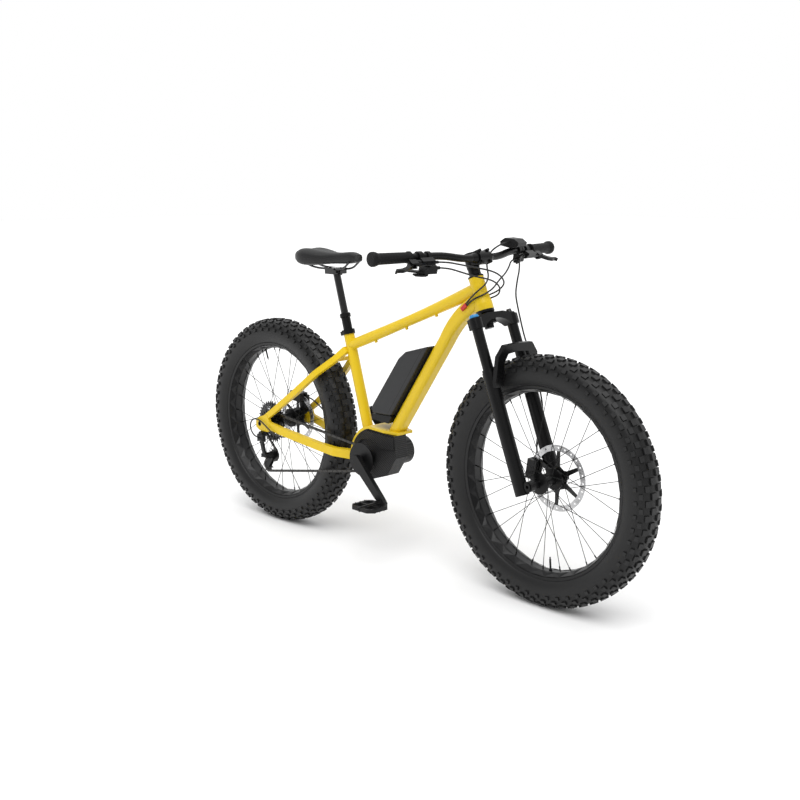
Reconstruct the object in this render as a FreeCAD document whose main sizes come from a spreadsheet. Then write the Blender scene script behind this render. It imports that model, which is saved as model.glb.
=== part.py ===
import FreeCAD, Part
import math
import os

import Sketcher
from FreeCAD import Placement, Rotation, Vector

# Fat-tyre electric mountain bike with a suspension fork and a dropper post.
# Frame of the model: +X is forwards, +Y is the rider's left, +Z is up.
# The origin is on the ground, midway between the two wheels.

doc = FreeCAD.newDocument("fat_tyre_bike")
sheet = doc.addObject("Spreadsheet::Sheet", "dim")

SIZES = (
    ("wheelbase", 1212, "front axle to rear axle"),
    ("tyre_diameter", 744, "over the centre knobs"),
    ("tyre_width", 100, "widest part of the casing"),
    ("tyre_wall", 3, "thickness of the casing"),
    ("knob_height", 5, "tread depth at the centre"),
    ("knob_rows", 48, "repeats of the tread round the tyre"),
    ("bead_diameter", 559, "rim's bead seat"),
    ("rim_width", 76, "outside of the rim lips"),
    ("rim_lip", 5.5, "lip above the bead seat"),
    ("rim_wall", 4, "thickness of the rim bed"),
    ("rim_well", 9.5, "depth of the rim's middle below the bead seat"),
    ("spoke_diameter", 2, "spoke wire"),
    ("spoke_count", 32, "spokes in each wheel"),
    ("nipple_diameter", 4, "spoke nipple"),
    ("front_hub_width", 135, "between the fork ends"),
    ("front_axle_diameter", 15, "front through axle"),
    ("axle_bore", 10, "hollow of both axles"),
    ("front_flange_diameter", 64, "front hub flanges"),
    ("front_flange_spacing", 68, "between the front flange centres"),
    ("front_rotor_diameter", 200, "front brake disc"),
    ("front_rotor_side", 52, "front disc's distance from the middle"),
    ("rear_hub_width", 190, "between the rear dropouts"),
    ("rear_axle_diameter", 17, "rear axle tube"),
    ("rear_flange_diameter", 68, "rear hub flanges"),
    ("rear_flange_spacing", 76, "between the rear flange centres"),
    ("rear_rotor_diameter", 180, "rear brake disc"),
    ("rear_rotor_side", 72, "rear disc's distance from the middle"),
    ("rotor_thickness", 1.8, "both discs"),
    ("rotor_track", 17, "width of the braking band"),
    ("head_angle", 68.7, "steering axis from the ground"),
    ("fork_offset", 55, "axle ahead of the steering axis"),
    ("fork_length", 521, "axle to crown seat"),
    ("lower_stack", 14, "lower headset cup"),
    ("upper_stack", 8, "upper headset cup"),
    ("head_length", 102, "head tube"),
    ("head_bottom_diameter", 56, "head tube at its lower end"),
    ("head_top_diameter", 46, "head tube at its upper end"),
    ("head_wall", 4, "head tube wall"),
    ("steerer_diameter", 28.6, "fork steerer"),
    ("leg_offset", 22, "fork legs ahead of the steering axis"),
    ("leg_spacing", 160, "between the fork leg axes"),
    ("stanchion_diameter", 32, "upper fork tubes"),
    ("leg_diameter", 42, "lower fork tubes"),
    ("leg_top", "=fork_length - 173", "top of the lowers above the axle"),
    ("leg_drop", 20, "lowers below the axle"),
    ("stanchion_bottom", "=fork_length - 401", "lower end of the upper tubes above the axle"),
    ("crown_bottom", "=fork_length - 43", "underside of the crown at the legs"),
    ("crown_top", "=fork_length - 9", "top of the crown at the legs"),
    ("spacer_height", 21, "headset spacers under the stem"),
    ("stem_height", 40, "stem's steerer clamp"),
    ("stem_length", 40, "steerer axis to bar axis"),
    ("bar_clamp_diameter", 31.8, "bar in the stem"),
    ("bar_clamp_width", 50, "stem's bar clamp"),
    ("bar_diameter", 22.2, "bar under the grips"),
    ("bar_wall", 3, "bar wall"),
    ("bar_width", 790, "over the bar ends"),
    ("bar_rise", 12, "grips above the clamp"),
    ("bar_middle", 80, "half of the straight middle of the bar"),
    ("bar_shoulder", 150, "where the bend ends, from the middle"),
    ("bar_shoulder_back", 15, "bend's sweep back"),
    ("bar_end_back", 55, "bar end's sweep back"),
    ("grip_diameter", 33, "grips"),
    ("grip_length", 130, "grips"),
    ("seat_angle", 73.5, "seat tube from the ground"),
    ("seat_setback", 17, "seat tube axis behind the crank axis"),
    ("seat_tube_length", 415, "above the crank axis"),
    ("seat_tube_diameter", 36, "seat tube"),
    ("post_diameter", 30.9, "dropper outer tube"),
    ("post_bottom", 190, "foot of the dropper outer tube along the seat tube"),
    ("post_top", 488, "top of the dropper outer tube along the seat tube"),
    ("shaft_diameter", 25, "dropper inner tube"),
    ("shaft_bottom", 335, "foot of the dropper inner tube along the seat tube"),
    ("saddle_height", 938, "saddle rails above the ground"),
    ("saddle_length", 294, "nose to tail"),
    ("saddle_width", 142, "widest part"),
    ("saddle_nose", -184, "nose of the saddle, from the middle of the bike"),
    ("rail_diameter", 7, "saddle rails"),
    ("rail_spacing", 44, "between the saddle rails"),
    ("chainstay_run", 500, "rear axle to crank, along the ground"),
    ("crank_height", 323, "crank axis above the ground"),
    ("crank_length", 172, "crank axis to pedal axis"),
    ("crank_angle", 44, "right crank below level"),
    ("crank_thickness", 16, "crank arm"),
    ("crank_inner", 86, "inner face of the crank arms from the middle"),
    ("spindle_diameter", 22, "crank spindle"),
    ("pedal_length", 100, "along the foot"),
    ("pedal_width", 92, "across the foot"),
    ("pedal_thickness", 16, "pedal body"),
    ("pedal_axle_diameter", 10, "pedal axle"),
    ("chain_pitch", 12.7, "chain pin to chain pin"),
    ("chain_side", 66.3, "chain line from the middle"),
    ("chain_gap", 2.2, "between the inner plates"),
    ("plate_thickness", 0.8, "chain plates"),
    ("plate_height", 8.2, "chain plates"),
    ("roller_diameter", 7.7, "chain rollers"),
    ("cog_thickness", 1.8, "sprockets"),
    ("cog_spacing", 3.95, "between cassette sprockets"),
    ("ring_teeth", 20, "chainring"),
    ("pulley_teeth", 11, "derailleur pulleys"),
    ("driver_diameter", 36, "cassette driver"),
    ("guard_diameter", 112, "chainring guard"),
    ("top_tube_diameter", 34, "top tube at the seat tube"),
    ("top_tube_front", 44, "top tube at the head tube"),
    ("down_angle", 55.7, "down tube from the ground"),
    ("down_depth", 40, "down tube, in the side view"),
    ("down_width", 52, "down tube, across the bike"),
    ("down_corner", 14, "down tube's corner radius"),
    ("cradle_wall", 9, "motor cradle"),
    ("cradle_width", 94, "motor cradle, across the bike"),
    ("motor_right", 50, "motor's right face from the middle"),
    ("motor_left", 48, "motor's left face from the middle"),
    ("cover_thickness", 5, "motor cover"),
    ("battery_width", 84, "battery, across the bike"),
    ("rail_thickness", 4, "battery rail"),
    ("dropout_thickness", 12, "dropout plates"),
    ("stay_width", 20, "stays, across the bike"),
    ("chainstay_height", 27, "chainstays"),
    ("seatstay_height", 21, "seatstays"),
    ("hose_diameter", 5, "hoses and cable housings"),
    ("fit_gap", 0.4, "between still pieces that seat on each other"),
    ("run_gap", 0.05, "radial clearance of a turning fit"),
    ("move_gap", 0.5, "between faces that pass each other"),
)
for row, (alias, amount, note) in enumerate(SIZES, start=1):
    sheet.set("A%d" % row, note)
    sheet.set("B%d" % row, str(amount))
    sheet.setAlias("B%d" % row, alias)
doc.recompute()


def size(alias):
    return float(sheet.get(alias))


nodes = []


def keep(thing, label):
    """Give a sub-part its name and put it on the list of pieces."""
    thing.Label = label
    nodes.append(thing)
    return thing


def amount_of(text):
    return float(sheet.evalExpression(text))


def outline(body, plane, corners):
    """A closed sketch of straight lines whose corners are bound to the sheet."""
    sketch = body.newObject("Sketcher::SketchObject", body.Name + "_outline")
    support = [face for face in body.Origin.OriginFeatures if face.Role == plane][0]
    sketch.AttachmentSupport = (support, [""])
    sketch.MapMode = "FlatFace"
    points = [Vector(amount_of(across), amount_of(up), 0) for across, up in corners]
    count = len(points)
    for index in range(count):
        sketch.addGeometry(Part.LineSegment(points[index], points[(index + 1) % count]))
    for index in range(count):
        sketch.addConstraint(Sketcher.Constraint("Coincident", index, 2, (index + 1) % count, 1))
    for index, (across, up) in enumerate(corners):
        for kind, text, place in (("DistanceX", across, points[index].x),
                                  ("DistanceY", up, points[index].y)):
            number = sketch.addConstraint(Sketcher.Constraint(kind, -1, 1, index, 1, place))
            sketch.setExpression("Constraints[%d]" % number, text)
    return sketch


def turned(name, corners, plane="XY_Plane"):
    """A body turned about the sketch's upright axis: Y on XY_Plane, Z on XZ_Plane."""
    body = doc.addObject("PartDesign::Body", name)
    sketch = outline(body, plane, corners)
    turn = body.newObject("PartDesign::Revolution", name + "_turn")
    turn.Profile = sketch
    turn.ReferenceAxis = (sketch, ["V_Axis"])
    turn.Angle = 360
    body.Tip = turn
    return body


def padded(name, corners, thickness, plane="XZ_Plane"):
    """A body padded from a straight-sided outline, evenly to both sides of its plane."""
    body = doc.addObject("PartDesign::Body", name)
    pad = body.newObject("PartDesign::Pad", name + "_pad")
    pad.Profile = outline(body, plane, corners)
    pad.setExpression("Length", thickness)
    pad.SideType = "Symmetric"
    body.Tip = pad
    return body


def rod(name, radius, length, start, direction):
    """A cylinder bound to the sheet, from a start point along a direction."""
    cylinder = doc.addObject("Part::Cylinder", name)
    cylinder.setExpression("Radius", radius)
    cylinder.setExpression("Height", length)
    cylinder.Placement = Placement(start, Rotation(Vector(0, 0, 1), direction))
    return cylinder


def block(name, sides, corner, place=None):
    """A box bound to the sheet, with its low corner in a local frame."""
    box = doc.addObject("Part::Box", name)
    for key, text in zip(("Length", "Width", "Height"), sides):
        box.setExpression(key, text)
    box.Placement = (place or Placement()).multiply(Placement(corner, Rotation()))
    return box


def fuse(name, things):
    joined = doc.addObject("Part::MultiFuse", name)
    joined.Shapes = things
    return joined


def cut(name, base, tool):
    left = doc.addObject("Part::Cut", name)
    left.Base = base
    left.Tool = tool
    return left


def group(name, things):
    together = doc.addObject("Part::Compound", name)
    together.Links = things
    return together


def mirrored(name, source):
    """The same piece on the other side of the bike."""
    other = doc.addObject("Part::Mirroring", name)
    other.Source = source
    other.Normal = Vector(0, 1, 0)
    return other


def shaped(name, shape, place=None):
    feature = doc.addObject("Part::Feature", name)
    feature.Shape = shape
    if place is not None:
        feature.Placement = place.multiply(shape.Placement)
    return feature


def extruded(wire, thickness):
    return Part.Face(wire).extrude(thickness)


def polygon(points):
    return Part.makePolygon(list(points) + [points[0]])


def bent_path(points):
    """Straight runs joined by tangent arcs as large as the runs allow."""
    edges = []
    radii = []
    last = points[0]
    for before, corner, after in zip(points, points[1:], points[2:]):
        back = (before - corner).normalize()
        ahead = (after - corner).normalize()
        half_turn = (math.pi - back.getAngle(ahead)) / 2
        reach = 0.45 * min(before.distanceToPoint(corner), after.distanceToPoint(corner))
        radius = reach / math.tan(half_turn)
        radii.append(radius)
        enter = corner + back * reach
        leave = corner + ahead * reach
        inwards = (back + ahead).normalize()
        middle = corner + inwards * (radius / math.cos(half_turn) - radius)
        edges.append(Part.LineSegment(last, enter).toShape())
        edges.append(Part.Arc(enter, middle, leave).toShape())
        last = leave
    edges.append(Part.LineSegment(last, points[-1]).toShape())
    return Part.Wire(edges), radii


def tube(points, radius):
    """A round bar along a bent path, and the radii of its bends."""
    path, radii = bent_path(points)
    start = (points[1] - points[0]).normalize()
    ring = Part.Wire(Part.makeCircle(radius, points[0], start))
    solid = path.makePipeShell([ring], True, False)
    return solid, radii, path.Length


def hose(name, points):
    """A hose or cable housing; its bend radii and volume are printed."""
    radius = size("hose_diameter") / 2
    solid, radii, length = tube(points, radius)
    share = solid.Volume / (math.pi * radius ** 2 * length)
    print("%s: length %.0f, least bend radius %.1f, volume share %.4f" % (name, length, min(radii), share))
    return solid


def box_section(centre, along, width, height):
    """A rectangle square to a run, with its width across the bike."""
    across = Vector(0, 1, 0)
    forward = Vector(along.x, 0, along.z).normalize()
    upwards = across.cross(forward) * -1
    corners = [centre + across * (width / 2 * a) + upwards * (height / 2 * b)
               for a, b in ((-1, -1), (1, -1), (1, 1), (-1, 1))]
    return polygon(corners)


def box_tube(stations):
    """A straight-faced tube through stations of (centre, width, height)."""
    sections = []
    for index, (centre, width, height) in enumerate(stations):
        before = stations[max(index - 1, 0)][0]
        after = stations[min(index + 1, len(stations) - 1)][0]
        sections.append(box_section(centre, after - before, width, height))
    return Part.makeLoft(sections, True, True)


def solid_cylinder(radius, start, end):
    return Part.makeCylinder(radius, start.distanceToPoint(end), start, end - start)


ACROSS = Vector(0, 1, 0)
UP = Vector(0, 0, 1)

# Reference points and local frames.
wheel_radius = size("tyre_diameter") / 2
front_axle = Vector(size("wheelbase") / 2, 0, wheel_radius)
rear_axle = Vector(-size("wheelbase") / 2, 0, wheel_radius)
crank_axis = Vector(rear_axle.x + size("chainstay_run"), 0, size("crank_height"))

# Steering frame: Z runs up the steering axis from the axle's height, X forwards.
head_turn = Rotation(ACROSS, size("head_angle") - 90)
steering = Placement(front_axle - head_turn.multVec(Vector(size("fork_offset"), 0, 0)), head_turn)
# Seat frame: Z runs up the seat tube from the crank's height.
seat_turn = Rotation(ACROSS, size("seat_angle") - 90)
seat = Placement(crank_axis - Vector(size("seat_setback"), 0, 0), seat_turn)
# Down tube frame: Z runs up the tube from its foot, X towards the front wheel.
down_turn = Rotation(ACROSS, 90 - size("down_angle"))
down_foot = crank_axis + Vector(99.5, 0, 106.5)
down = Placement(down_foot, down_turn)


def on_steering(x, y, z):
    return steering.multVec(Vector(x, y, z))


def on_seat(x, y, z):
    return seat.multVec(Vector(x, y, z))


def on_down(x, y, z):
    return down.multVec(Vector(x, y, z))


def at(point):
    return Placement(point, Rotation())


# Heights along the steering axis.
crown_seat = size("fork_length")
head_bottom = crown_seat + size("lower_stack")
head_top = head_bottom + size("head_length")
cup_top = head_top + size("upper_stack")
stem_bottom = cup_top + size("spacer_height")
stem_top = stem_bottom + size("stem_height")
bar_level = stem_bottom + size("stem_height") / 2

# Head tube, flared towards its lower end.
head_tube = turned("head_tube_body", (
    ("dim.head_bottom_diameter / 2 - dim.head_wall", "0"),
    ("dim.head_bottom_diameter / 2", "0"),
    ("dim.head_bottom_diameter / 2", "dim.head_length * 0.2"),
    ("dim.head_top_diameter / 2", "dim.head_length * 0.55"),
    ("dim.head_top_diameter / 2", "dim.head_length"),
    ("dim.head_top_diameter / 2 - dim.head_wall", "dim.head_length"),
    ("dim.head_top_diameter / 2 - dim.head_wall", "dim.head_length * 0.55"),
), "XZ_Plane")
head_tube.Placement = steering.multiply(at(Vector(0, 0, head_bottom)))
keep(head_tube, "head_tube")
head_long = size("head_length")
HEAD_OUTER = ((0, 0), (size("head_bottom_diameter") / 2, 0),
              (size("head_bottom_diameter") / 2, head_long * 0.2),
              (size("head_top_diameter") / 2, head_long * 0.55), (size("head_top_diameter") / 2, head_long),
              (0, head_long))
head_half = Part.Face(polygon([Vector(reach, 0, rise) for reach, rise in HEAD_OUTER]))
head_envelope = head_half.revolve(Vector(), UP, 360)
head_envelope.Placement = steering.multiply(at(Vector(0, 0, head_bottom)))

# Headset cups: bearings that carry the steerer at both ends of the head tube.
lower_cup = turned("lower_cup", (
    ("dim.steerer_diameter / 2 + dim.run_gap", "dim.move_gap"),
    ("dim.head_bottom_diameter / 2 - 4", "dim.move_gap"),
    ("dim.head_bottom_diameter / 2", "dim.lower_stack / 2"),
    ("dim.head_bottom_diameter / 2", "dim.lower_stack"),
    ("dim.steerer_diameter / 2 + dim.run_gap", "dim.lower_stack"),
), "XZ_Plane")
lower_cup.Placement = steering.multiply(at(Vector(0, 0, crown_seat)))
upper_cup = turned("upper_cup", (
    ("dim.steerer_diameter / 2 + dim.run_gap", "0"),
    ("dim.head_top_diameter / 2 + 1", "0"),
    ("dim.head_top_diameter / 2 + 1", "dim.upper_stack / 2"),
    ("dim.head_top_diameter / 2 - 4", "dim.upper_stack - dim.move_gap"),
    ("dim.steerer_diameter / 2 + dim.run_gap", "dim.upper_stack - dim.move_gap"),
), "XZ_Plane")
upper_cup.Placement = steering.multiply(at(Vector(0, 0, head_top)))
keep(group("headset", [lower_cup, upper_cup]), "headset_cups")

# Motor cradle: a curved shell over the motor, with a rear wall for the chainstays.
CRADLE_REAR = -70
CRADLE_LOW = -26
CRADLE_FRONT = 132
CRADLE_NOSE = 34


def cradle_line(offset):
    """The cradle's inside line moved outwards: rear wall, arc, then the sloping roof."""
    low = Vector(CRADLE_REAR - offset, 0, CRADLE_LOW)
    spring = Vector(CRADLE_REAR - offset, 0, 22)
    bulge = Vector(-46 - offset * 0.75, 0, 69 + offset * 0.66)
    crest = Vector(6 - offset * 0.1, 0, 101 + offset)
    end = Vector(CRADLE_FRONT, 0, 95 + offset)
    return low, spring, bulge, crest, end


def cradle_face(inner, outer):
    a = cradle_line(inner)
    b = cradle_line(outer)
    edges = [Part.LineSegment(a[0], a[1]), Part.Arc(a[1], a[2], a[3]), Part.LineSegment(a[3], a[4]),
             Part.LineSegment(a[4], b[4]), Part.LineSegment(b[4], b[3]), Part.Arc(b[3], b[2], b[1]),
             Part.LineSegment(b[1], b[0]), Part.LineSegment(b[0], a[0])]
    return Part.Wire([edge.toShape() for edge in edges])


half_cradle = size("cradle_width") / 2
cradle_wire = cradle_face(0, size("cradle_wall"))
cradle_wire.translate(crank_axis - ACROSS * half_cradle)
cradle_solid = extruded(cradle_wire, ACROSS * (2 * half_cradle))
# The roof narrows to the down tube's width at its front.
for side in (-1, 1):
    corner_marks = ((CRADLE_FRONT - 55, half_cradle), (CRADLE_FRONT + 1, CRADLE_NOSE),
                    (CRADLE_FRONT + 1, half_cradle + 9), (CRADLE_FRONT - 55, half_cradle + 9))
    corner_wire = polygon([crank_axis + Vector(x, side * y, 60) for x, y in corner_marks])
    cradle_solid = cradle_solid.cut(extruded(corner_wire, UP * 90))
motor_cradle = shaped("cradle", cradle_solid)
keep(motor_cradle, "motor_cradle")

# Everything under the cradle's outer line, used to end the tubes that stand on it.
under_line = cradle_line(size("cradle_wall"))
under_edges = [Part.LineSegment(under_line[0], under_line[1]), Part.Arc(*under_line[1:4]),
               Part.LineSegment(under_line[3], under_line[4]),
               Part.LineSegment(under_line[4], Vector(CRADLE_FRONT, 0, CRADLE_LOW)),
               Part.LineSegment(Vector(CRADLE_FRONT, 0, CRADLE_LOW), under_line[0])]
under_wire = Part.Wire([edge.toShape() for edge in under_edges])
under_wire.translate(crank_axis - ACROSS * (half_cradle + 20))
under_cradle = extruded(under_wire, ACROSS * (2 * half_cradle + 40))

# Seat tube, open at the top for the dropper post.
seat_top = size("seat_tube_length")
seat_outer = solid_cylinder(size("seat_tube_diameter") / 2, on_seat(0, 0, 40), on_seat(0, 0, seat_top))
seat_bore = solid_cylinder(size("post_diameter") / 2 + size("run_gap"), on_seat(0, 0, 150),
                           on_seat(0, 0, seat_top + 1))
seat_tube = shaped("seat_tube_piece", seat_outer.cut(under_cradle).cut(seat_bore))
keep(seat_tube, "seat_tube")

# Down tube: a rounded box section that curves into the head tube.


def rounded_section(centre, along, width, height, corner):
    """A rectangle with round corners, square to a run of the side view."""
    upwards = ACROSS.cross(along) * -1
    edges = []
    marks = []
    for a, b in ((-1, -1), (1, -1), (1, 1), (-1, 1)):
        marks.append((centre + ACROSS * (a * (width / 2 - corner)) + upwards * (b * (height / 2 - corner)),
                      a, b))
    ring = []
    slope = math.sqrt(0.5) * corner
    for middle, a, b in marks:
        side = middle + ACROSS * (a * corner)
        level = middle + upwards * (b * corner)
        corner_point = middle + ACROSS * (a * slope) + upwards * (b * slope)
        ring.append((level, corner_point, side) if a * b < 0 else (side, corner_point, level))
    for index in range(4):
        first, mid, last = ring[index]
        edges.append(Part.Arc(first, mid, last).toShape())
        edges.append(Part.LineSegment(last, ring[(index + 1) % 4][0]).toShape())
    return Part.Wire(edges)


down_length = 385
down_along = down_turn.multVec(UP)
tip_along = Rotation(ACROSS, 52).multVec(UP)
down_tip = on_steering(0, 0, head_bottom + size("head_length") * 0.32)
down_sections = [
    (on_down(0, 0, -45), down_along, size("down_width"), size("down_depth")),
    (on_down(0, 0, down_length), down_along, size("down_width"), size("down_depth")),
    (on_down(2, 0, down_length + 75), Rotation(ACROSS, 42).multVec(UP), size("down_width"),
     size("down_depth") + 4),
    (down_tip, tip_along, size("down_width") - 4, size("down_depth") + 10),
]
down_wires = [rounded_section(centre, along, width, height, size("down_corner"))
              for centre, along, width, height in down_sections]
straight_part = Part.makeLoft(down_wires[:2], True, True)
curved_part = Part.makeLoft(down_wires[1:], True, False)
down_solid = straight_part.fuse(curved_part).cut(under_cradle).cut(head_envelope)
down_solid = max(down_solid.Solids, key=lambda piece: piece.Volume)
keep(shaped("down_tube_piece", down_solid), "down_tube")

# Top tube: a round tube that swells towards the head tube, with three cable bosses under it.
top_start = on_seat(0, 0, seat_top - 38)
top_end = on_steering(0, 0, head_bottom + size("head_length") * 0.66)
top_run = top_end - top_start
top_along = Vector(top_run).normalize()
sag = Vector(top_run.z, 0, -top_run.x).normalize()
top_stations = ((0.0, 0.0, 0.0), (0.36, 3.0, 0.0), (0.7, 3.0, 0.2), (0.88, 1.5, 0.7), (1.0, 0.0, 1.0))
top_wires = []
for share, dip, swell in top_stations:
    centre = top_start + top_run * share + sag * dip
    width = size("top_tube_diameter") * (1 - swell) + size("top_tube_front") * swell
    top_wires.append(Part.Wire(Part.makeCircle(width / 2, centre, top_along)))
top_solid = Part.makeLoft(top_wires, True, False)
top_solid = top_solid.cut(seat_outer).cut(head_envelope).cut(down_solid)
top_solid = max(top_solid.Solids, key=lambda piece: piece.Volume)
for share, dip in ((0.2, 2.0), (0.45, 3.0), (0.68, 3.0)):
    root = top_start + top_run * share + sag * (dip + size("top_tube_diameter") / 2 - 4)
    top_solid = top_solid.fuse(solid_cylinder(5, root, root + sag * 11))
keep(shaped("top_tube_piece", top_solid), "top_tube")

# Chainstays with their dropout plates.
drop_inner = size("rear_hub_width") / 2
drop_outer = drop_inner + size("dropout_thickness")
drop_middle = (drop_inner + drop_outer) / 2
stay_clear = size("tyre_width") / 2 + 8 + size("stay_width") / 2
DROPOUT = ((-20, -14), (-20, 14), (0, 26), (42, 40), (60, 2), (44, -24), (0, -24))


def right_side(x, y, z):
    return Vector(x, -y, z)


chainstay_stations = (
    (right_side(rear_axle.x + 40, drop_middle, rear_axle.z + 2), size("dropout_thickness"),
     size("chainstay_height")),
    (right_side(rear_axle.x + 115, drop_middle - 6, rear_axle.z - 12), size("stay_width") - 4,
     size("chainstay_height")),
    (right_side(rear_axle.x + 285, stay_clear + 3, rear_axle.z - 40), size("stay_width"),
     size("chainstay_height")),
    (right_side(rear_axle.x + 360, stay_clear - 2, rear_axle.z - 47), size("stay_width"),
     size("chainstay_height") + 2),
    (right_side(crank_axis.x + CRADLE_REAR - 2, half_cradle - 12, crank_axis.z - 2), size("stay_width") + 3,
     size("chainstay_height") + 5),
)
plate_wire = polygon([rear_axle + Vector(x, -drop_outer, z) for x, z in DROPOUT])
plate = extruded(plate_wire, ACROSS * size("dropout_thickness"))
axle_hole = solid_cylinder(size("rear_axle_diameter") / 2 + size("run_gap"), rear_axle - ACROSS * 200,
                           rear_axle + ACROSS * 200)
right_chainstay = box_tube(chainstay_stations).fuse(plate).cut(under_cradle).cut(axle_hole).removeSplitter()
chainstay_piece = shaped("right_chainstay", right_chainstay)
keep(group("both_chainstays", [chainstay_piece, mirrored("left_chainstay", chainstay_piece)]), "chainstays")

# Seatstays, bowed round the tyre and in to the top of the seat tube.
seatstay_stations = (
    (right_side(rear_axle.x + 14, drop_middle, rear_axle.z + 14), size("dropout_thickness"),
     size("seatstay_height")),
    (right_side(rear_axle.x + 85, drop_middle - 4, rear_axle.z + 64), size("stay_width") - 5,
     size("seatstay_height")),
    (right_side(rear_axle.x + 185, drop_middle - 13, rear_axle.z + 138), size("stay_width") - 3,
     size("seatstay_height")),
    (right_side(rear_axle.x + 272, stay_clear + 2, rear_axle.z + 212), size("stay_width") - 3,
     size("seatstay_height")),
    (right_side(rear_axle.x + 345, 42, rear_axle.z + 268), size("stay_width") - 2, size("seatstay_height")),
    (on_seat(-8, -16, seat_top - 48), size("stay_width") - 2, size("seatstay_height") + 3),
)
right_seatstay = box_tube(seatstay_stations).cut(right_chainstay).cut(seat_outer)
right_seatstay = max(right_seatstay.Solids, key=lambda piece: piece.Volume)
centre_wall = Part.makeBox(400, 60, 400, Vector(rear_axle.x + 300, -0.2, rear_axle.z + 100))
right_seatstay = right_seatstay.cut(centre_wall)
seatstay_piece = shaped("right_seatstay", right_seatstay)
bridge_at = Vector(rear_axle.x + 338, 0, rear_axle.z + 263)
bridge = Part.makeBox(14, 80, 12, bridge_at + Vector(-7, -40, -6), UP)
bridge = bridge.cut(right_seatstay).cut(right_seatstay.mirror(Vector(), ACROSS))
bridge = max(bridge.Solids, key=lambda piece: piece.Volume)
bridge_piece = shaped("stay_bridge", bridge)
keep(group("both_seatstays", [seatstay_piece, mirrored("left_seatstay", seatstay_piece), bridge_piece]),
     "seatstays")


def local_rod(name, place, radius, length, start, direction):
    """A cylinder in a local frame."""
    return rod(name, radius, length, place.multVec(start), place.Rotation.multVec(direction))


ALONG_X = Vector(1, 0, 0)

# Seat clamp: a collar with a bolt behind the seat tube.
collar = turned("seat_collar", (
    ("dim.post_diameter / 2 + dim.run_gap", "0"),
    ("dim.seat_tube_diameter / 2 + 4", "0"),
    ("dim.seat_tube_diameter / 2 + 4", "16"),
    ("dim.post_diameter / 2 + dim.run_gap", "16"),
), "XZ_Plane")
collar.Placement = seat.multiply(at(Vector(0, 0, seat_top)))
lug = block("clamp_lug", ("12", "20", "14"),
            Vector(-size("seat_tube_diameter") / 2 - 13, -10, seat_top + 1), seat)
keep(fuse("clamp", [collar, lug]), "seat_clamp")

# Dropper post: the outer tube with its collar, then the sliding inner tube with the saddle head.
post_outer = turned("post_tube", (
    ("dim.shaft_diameter / 2 + dim.run_gap", "dim.post_bottom"),
    ("dim.post_diameter / 2", "dim.post_bottom"),
    ("dim.post_diameter / 2", "dim.post_top - 16"),
    ("dim.post_diameter / 2 + 3", "dim.post_top - 14"),
    ("dim.post_diameter / 2 + 3", "dim.post_top - 3"),
    ("dim.post_diameter / 2", "dim.post_top"),
    ("dim.shaft_diameter / 2 + dim.run_gap", "dim.post_top"),
), "XZ_Plane")
post_outer.Placement = seat
keep(post_outer, "dropper_outer_tube")

rail_level = size("saddle_height")
head_height = (rail_level - crank_axis.z) / math.sin(math.radians(size("seat_angle")))
head_centre = on_seat(0, 0, head_height)
shaft = rod("shaft", "dim.shaft_diameter / 2", "%.4f - dim.shaft_bottom" % (head_height - 10),
            on_seat(0, 0, size("shaft_bottom")), seat.Rotation.multVec(UP))
half_rails = size("rail_spacing") / 2
yoke = block("post_yoke", ("44", "dim.rail_spacing + 16", "20"),
             Vector(head_centre.x - 22, -half_rails - 8, rail_level - 17))
rail_cuts = [rod("rail_cut_%d" % side, "dim.rail_diameter / 2 + dim.run_gap", "80",
                 Vector(head_centre.x - 40, side * half_rails, rail_level), ALONG_X) for side in (-1, 1)]
bolts = [rod("head_bolt_%d" % side, "4", "26", Vector(head_centre.x + 27.5 * side, 0, rail_level - 20), UP)
         for side in (-1, 1)]
ears = block("bolt_ears", ("66", "18", "9"), Vector(head_centre.x - 33, -9, rail_level - 14))
keep(cut("post_inner", fuse("post_parts", [shaft, yoke, ears] + bolts), fuse("rail_slots", rail_cuts)),
     "dropper_inner_tube")

# Saddle: a padded cover with a crowned top and drawn-in sides.
nose = size("saddle_nose")
length = size("saddle_length")
half_saddle = size("saddle_width") / 2
SADDLE = ((0.0, 0.17, 35, 48), (0.07, 0.28, 31, 52), (0.23, 0.36, 28, 52), (0.43, 0.57, 25, 53),
          (0.63, 0.93, 18, 58), (0.81, 1.0, 14, 62), (0.94, 0.82, 18, 57), (1.0, 0.53, 26, 46))
saddle_wires = []
for share, spread, low, high in SADDLE:
    x = nose - length * share
    w = half_saddle * spread
    foot = rail_level + low
    crown = rail_level + high
    lift = crown - foot
    marks = [Vector(x, y, z) for y, z in (
        (-w * 0.8, foot), (-w, foot + lift * 0.4), (-w * 0.62, crown - lift * 0.16), (0, crown),
        (w * 0.62, crown - lift * 0.16), (w, foot + lift * 0.4), (w * 0.8, foot))]
    edges = [Part.Arc(*marks[0:3]), Part.Arc(*marks[2:5]), Part.Arc(*marks[4:7]),
             Part.LineSegment(marks[6], marks[0])]
    saddle_wires.append(Part.Wire([edge.toShape() for edge in edges]))
saddle_solid = Part.makeLoft(saddle_wires, True, False)
keep(shaped("saddle_cover", saddle_solid), "saddle")

# Saddle rails: two bent rods from the nose to the tail of the saddle.
rail_points = [Vector(nose - length * share, half_rails, rail_level + lift) for share, lift in (
    (0.10, 26), (0.19, 6), (0.27, 0), (0.62, 0), (0.74, 4), (0.84, 12))]
rail_solid = tube(rail_points, size("rail_diameter") / 2)[0].cut(saddle_solid)
rail_solid = max(rail_solid.Solids, key=lambda piece: piece.Volume)
rail_piece = shaped("left_rail", rail_solid)
keep(group("rails", [rail_piece, mirrored("right_rail", rail_piece)]), "saddle_rails")

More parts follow.
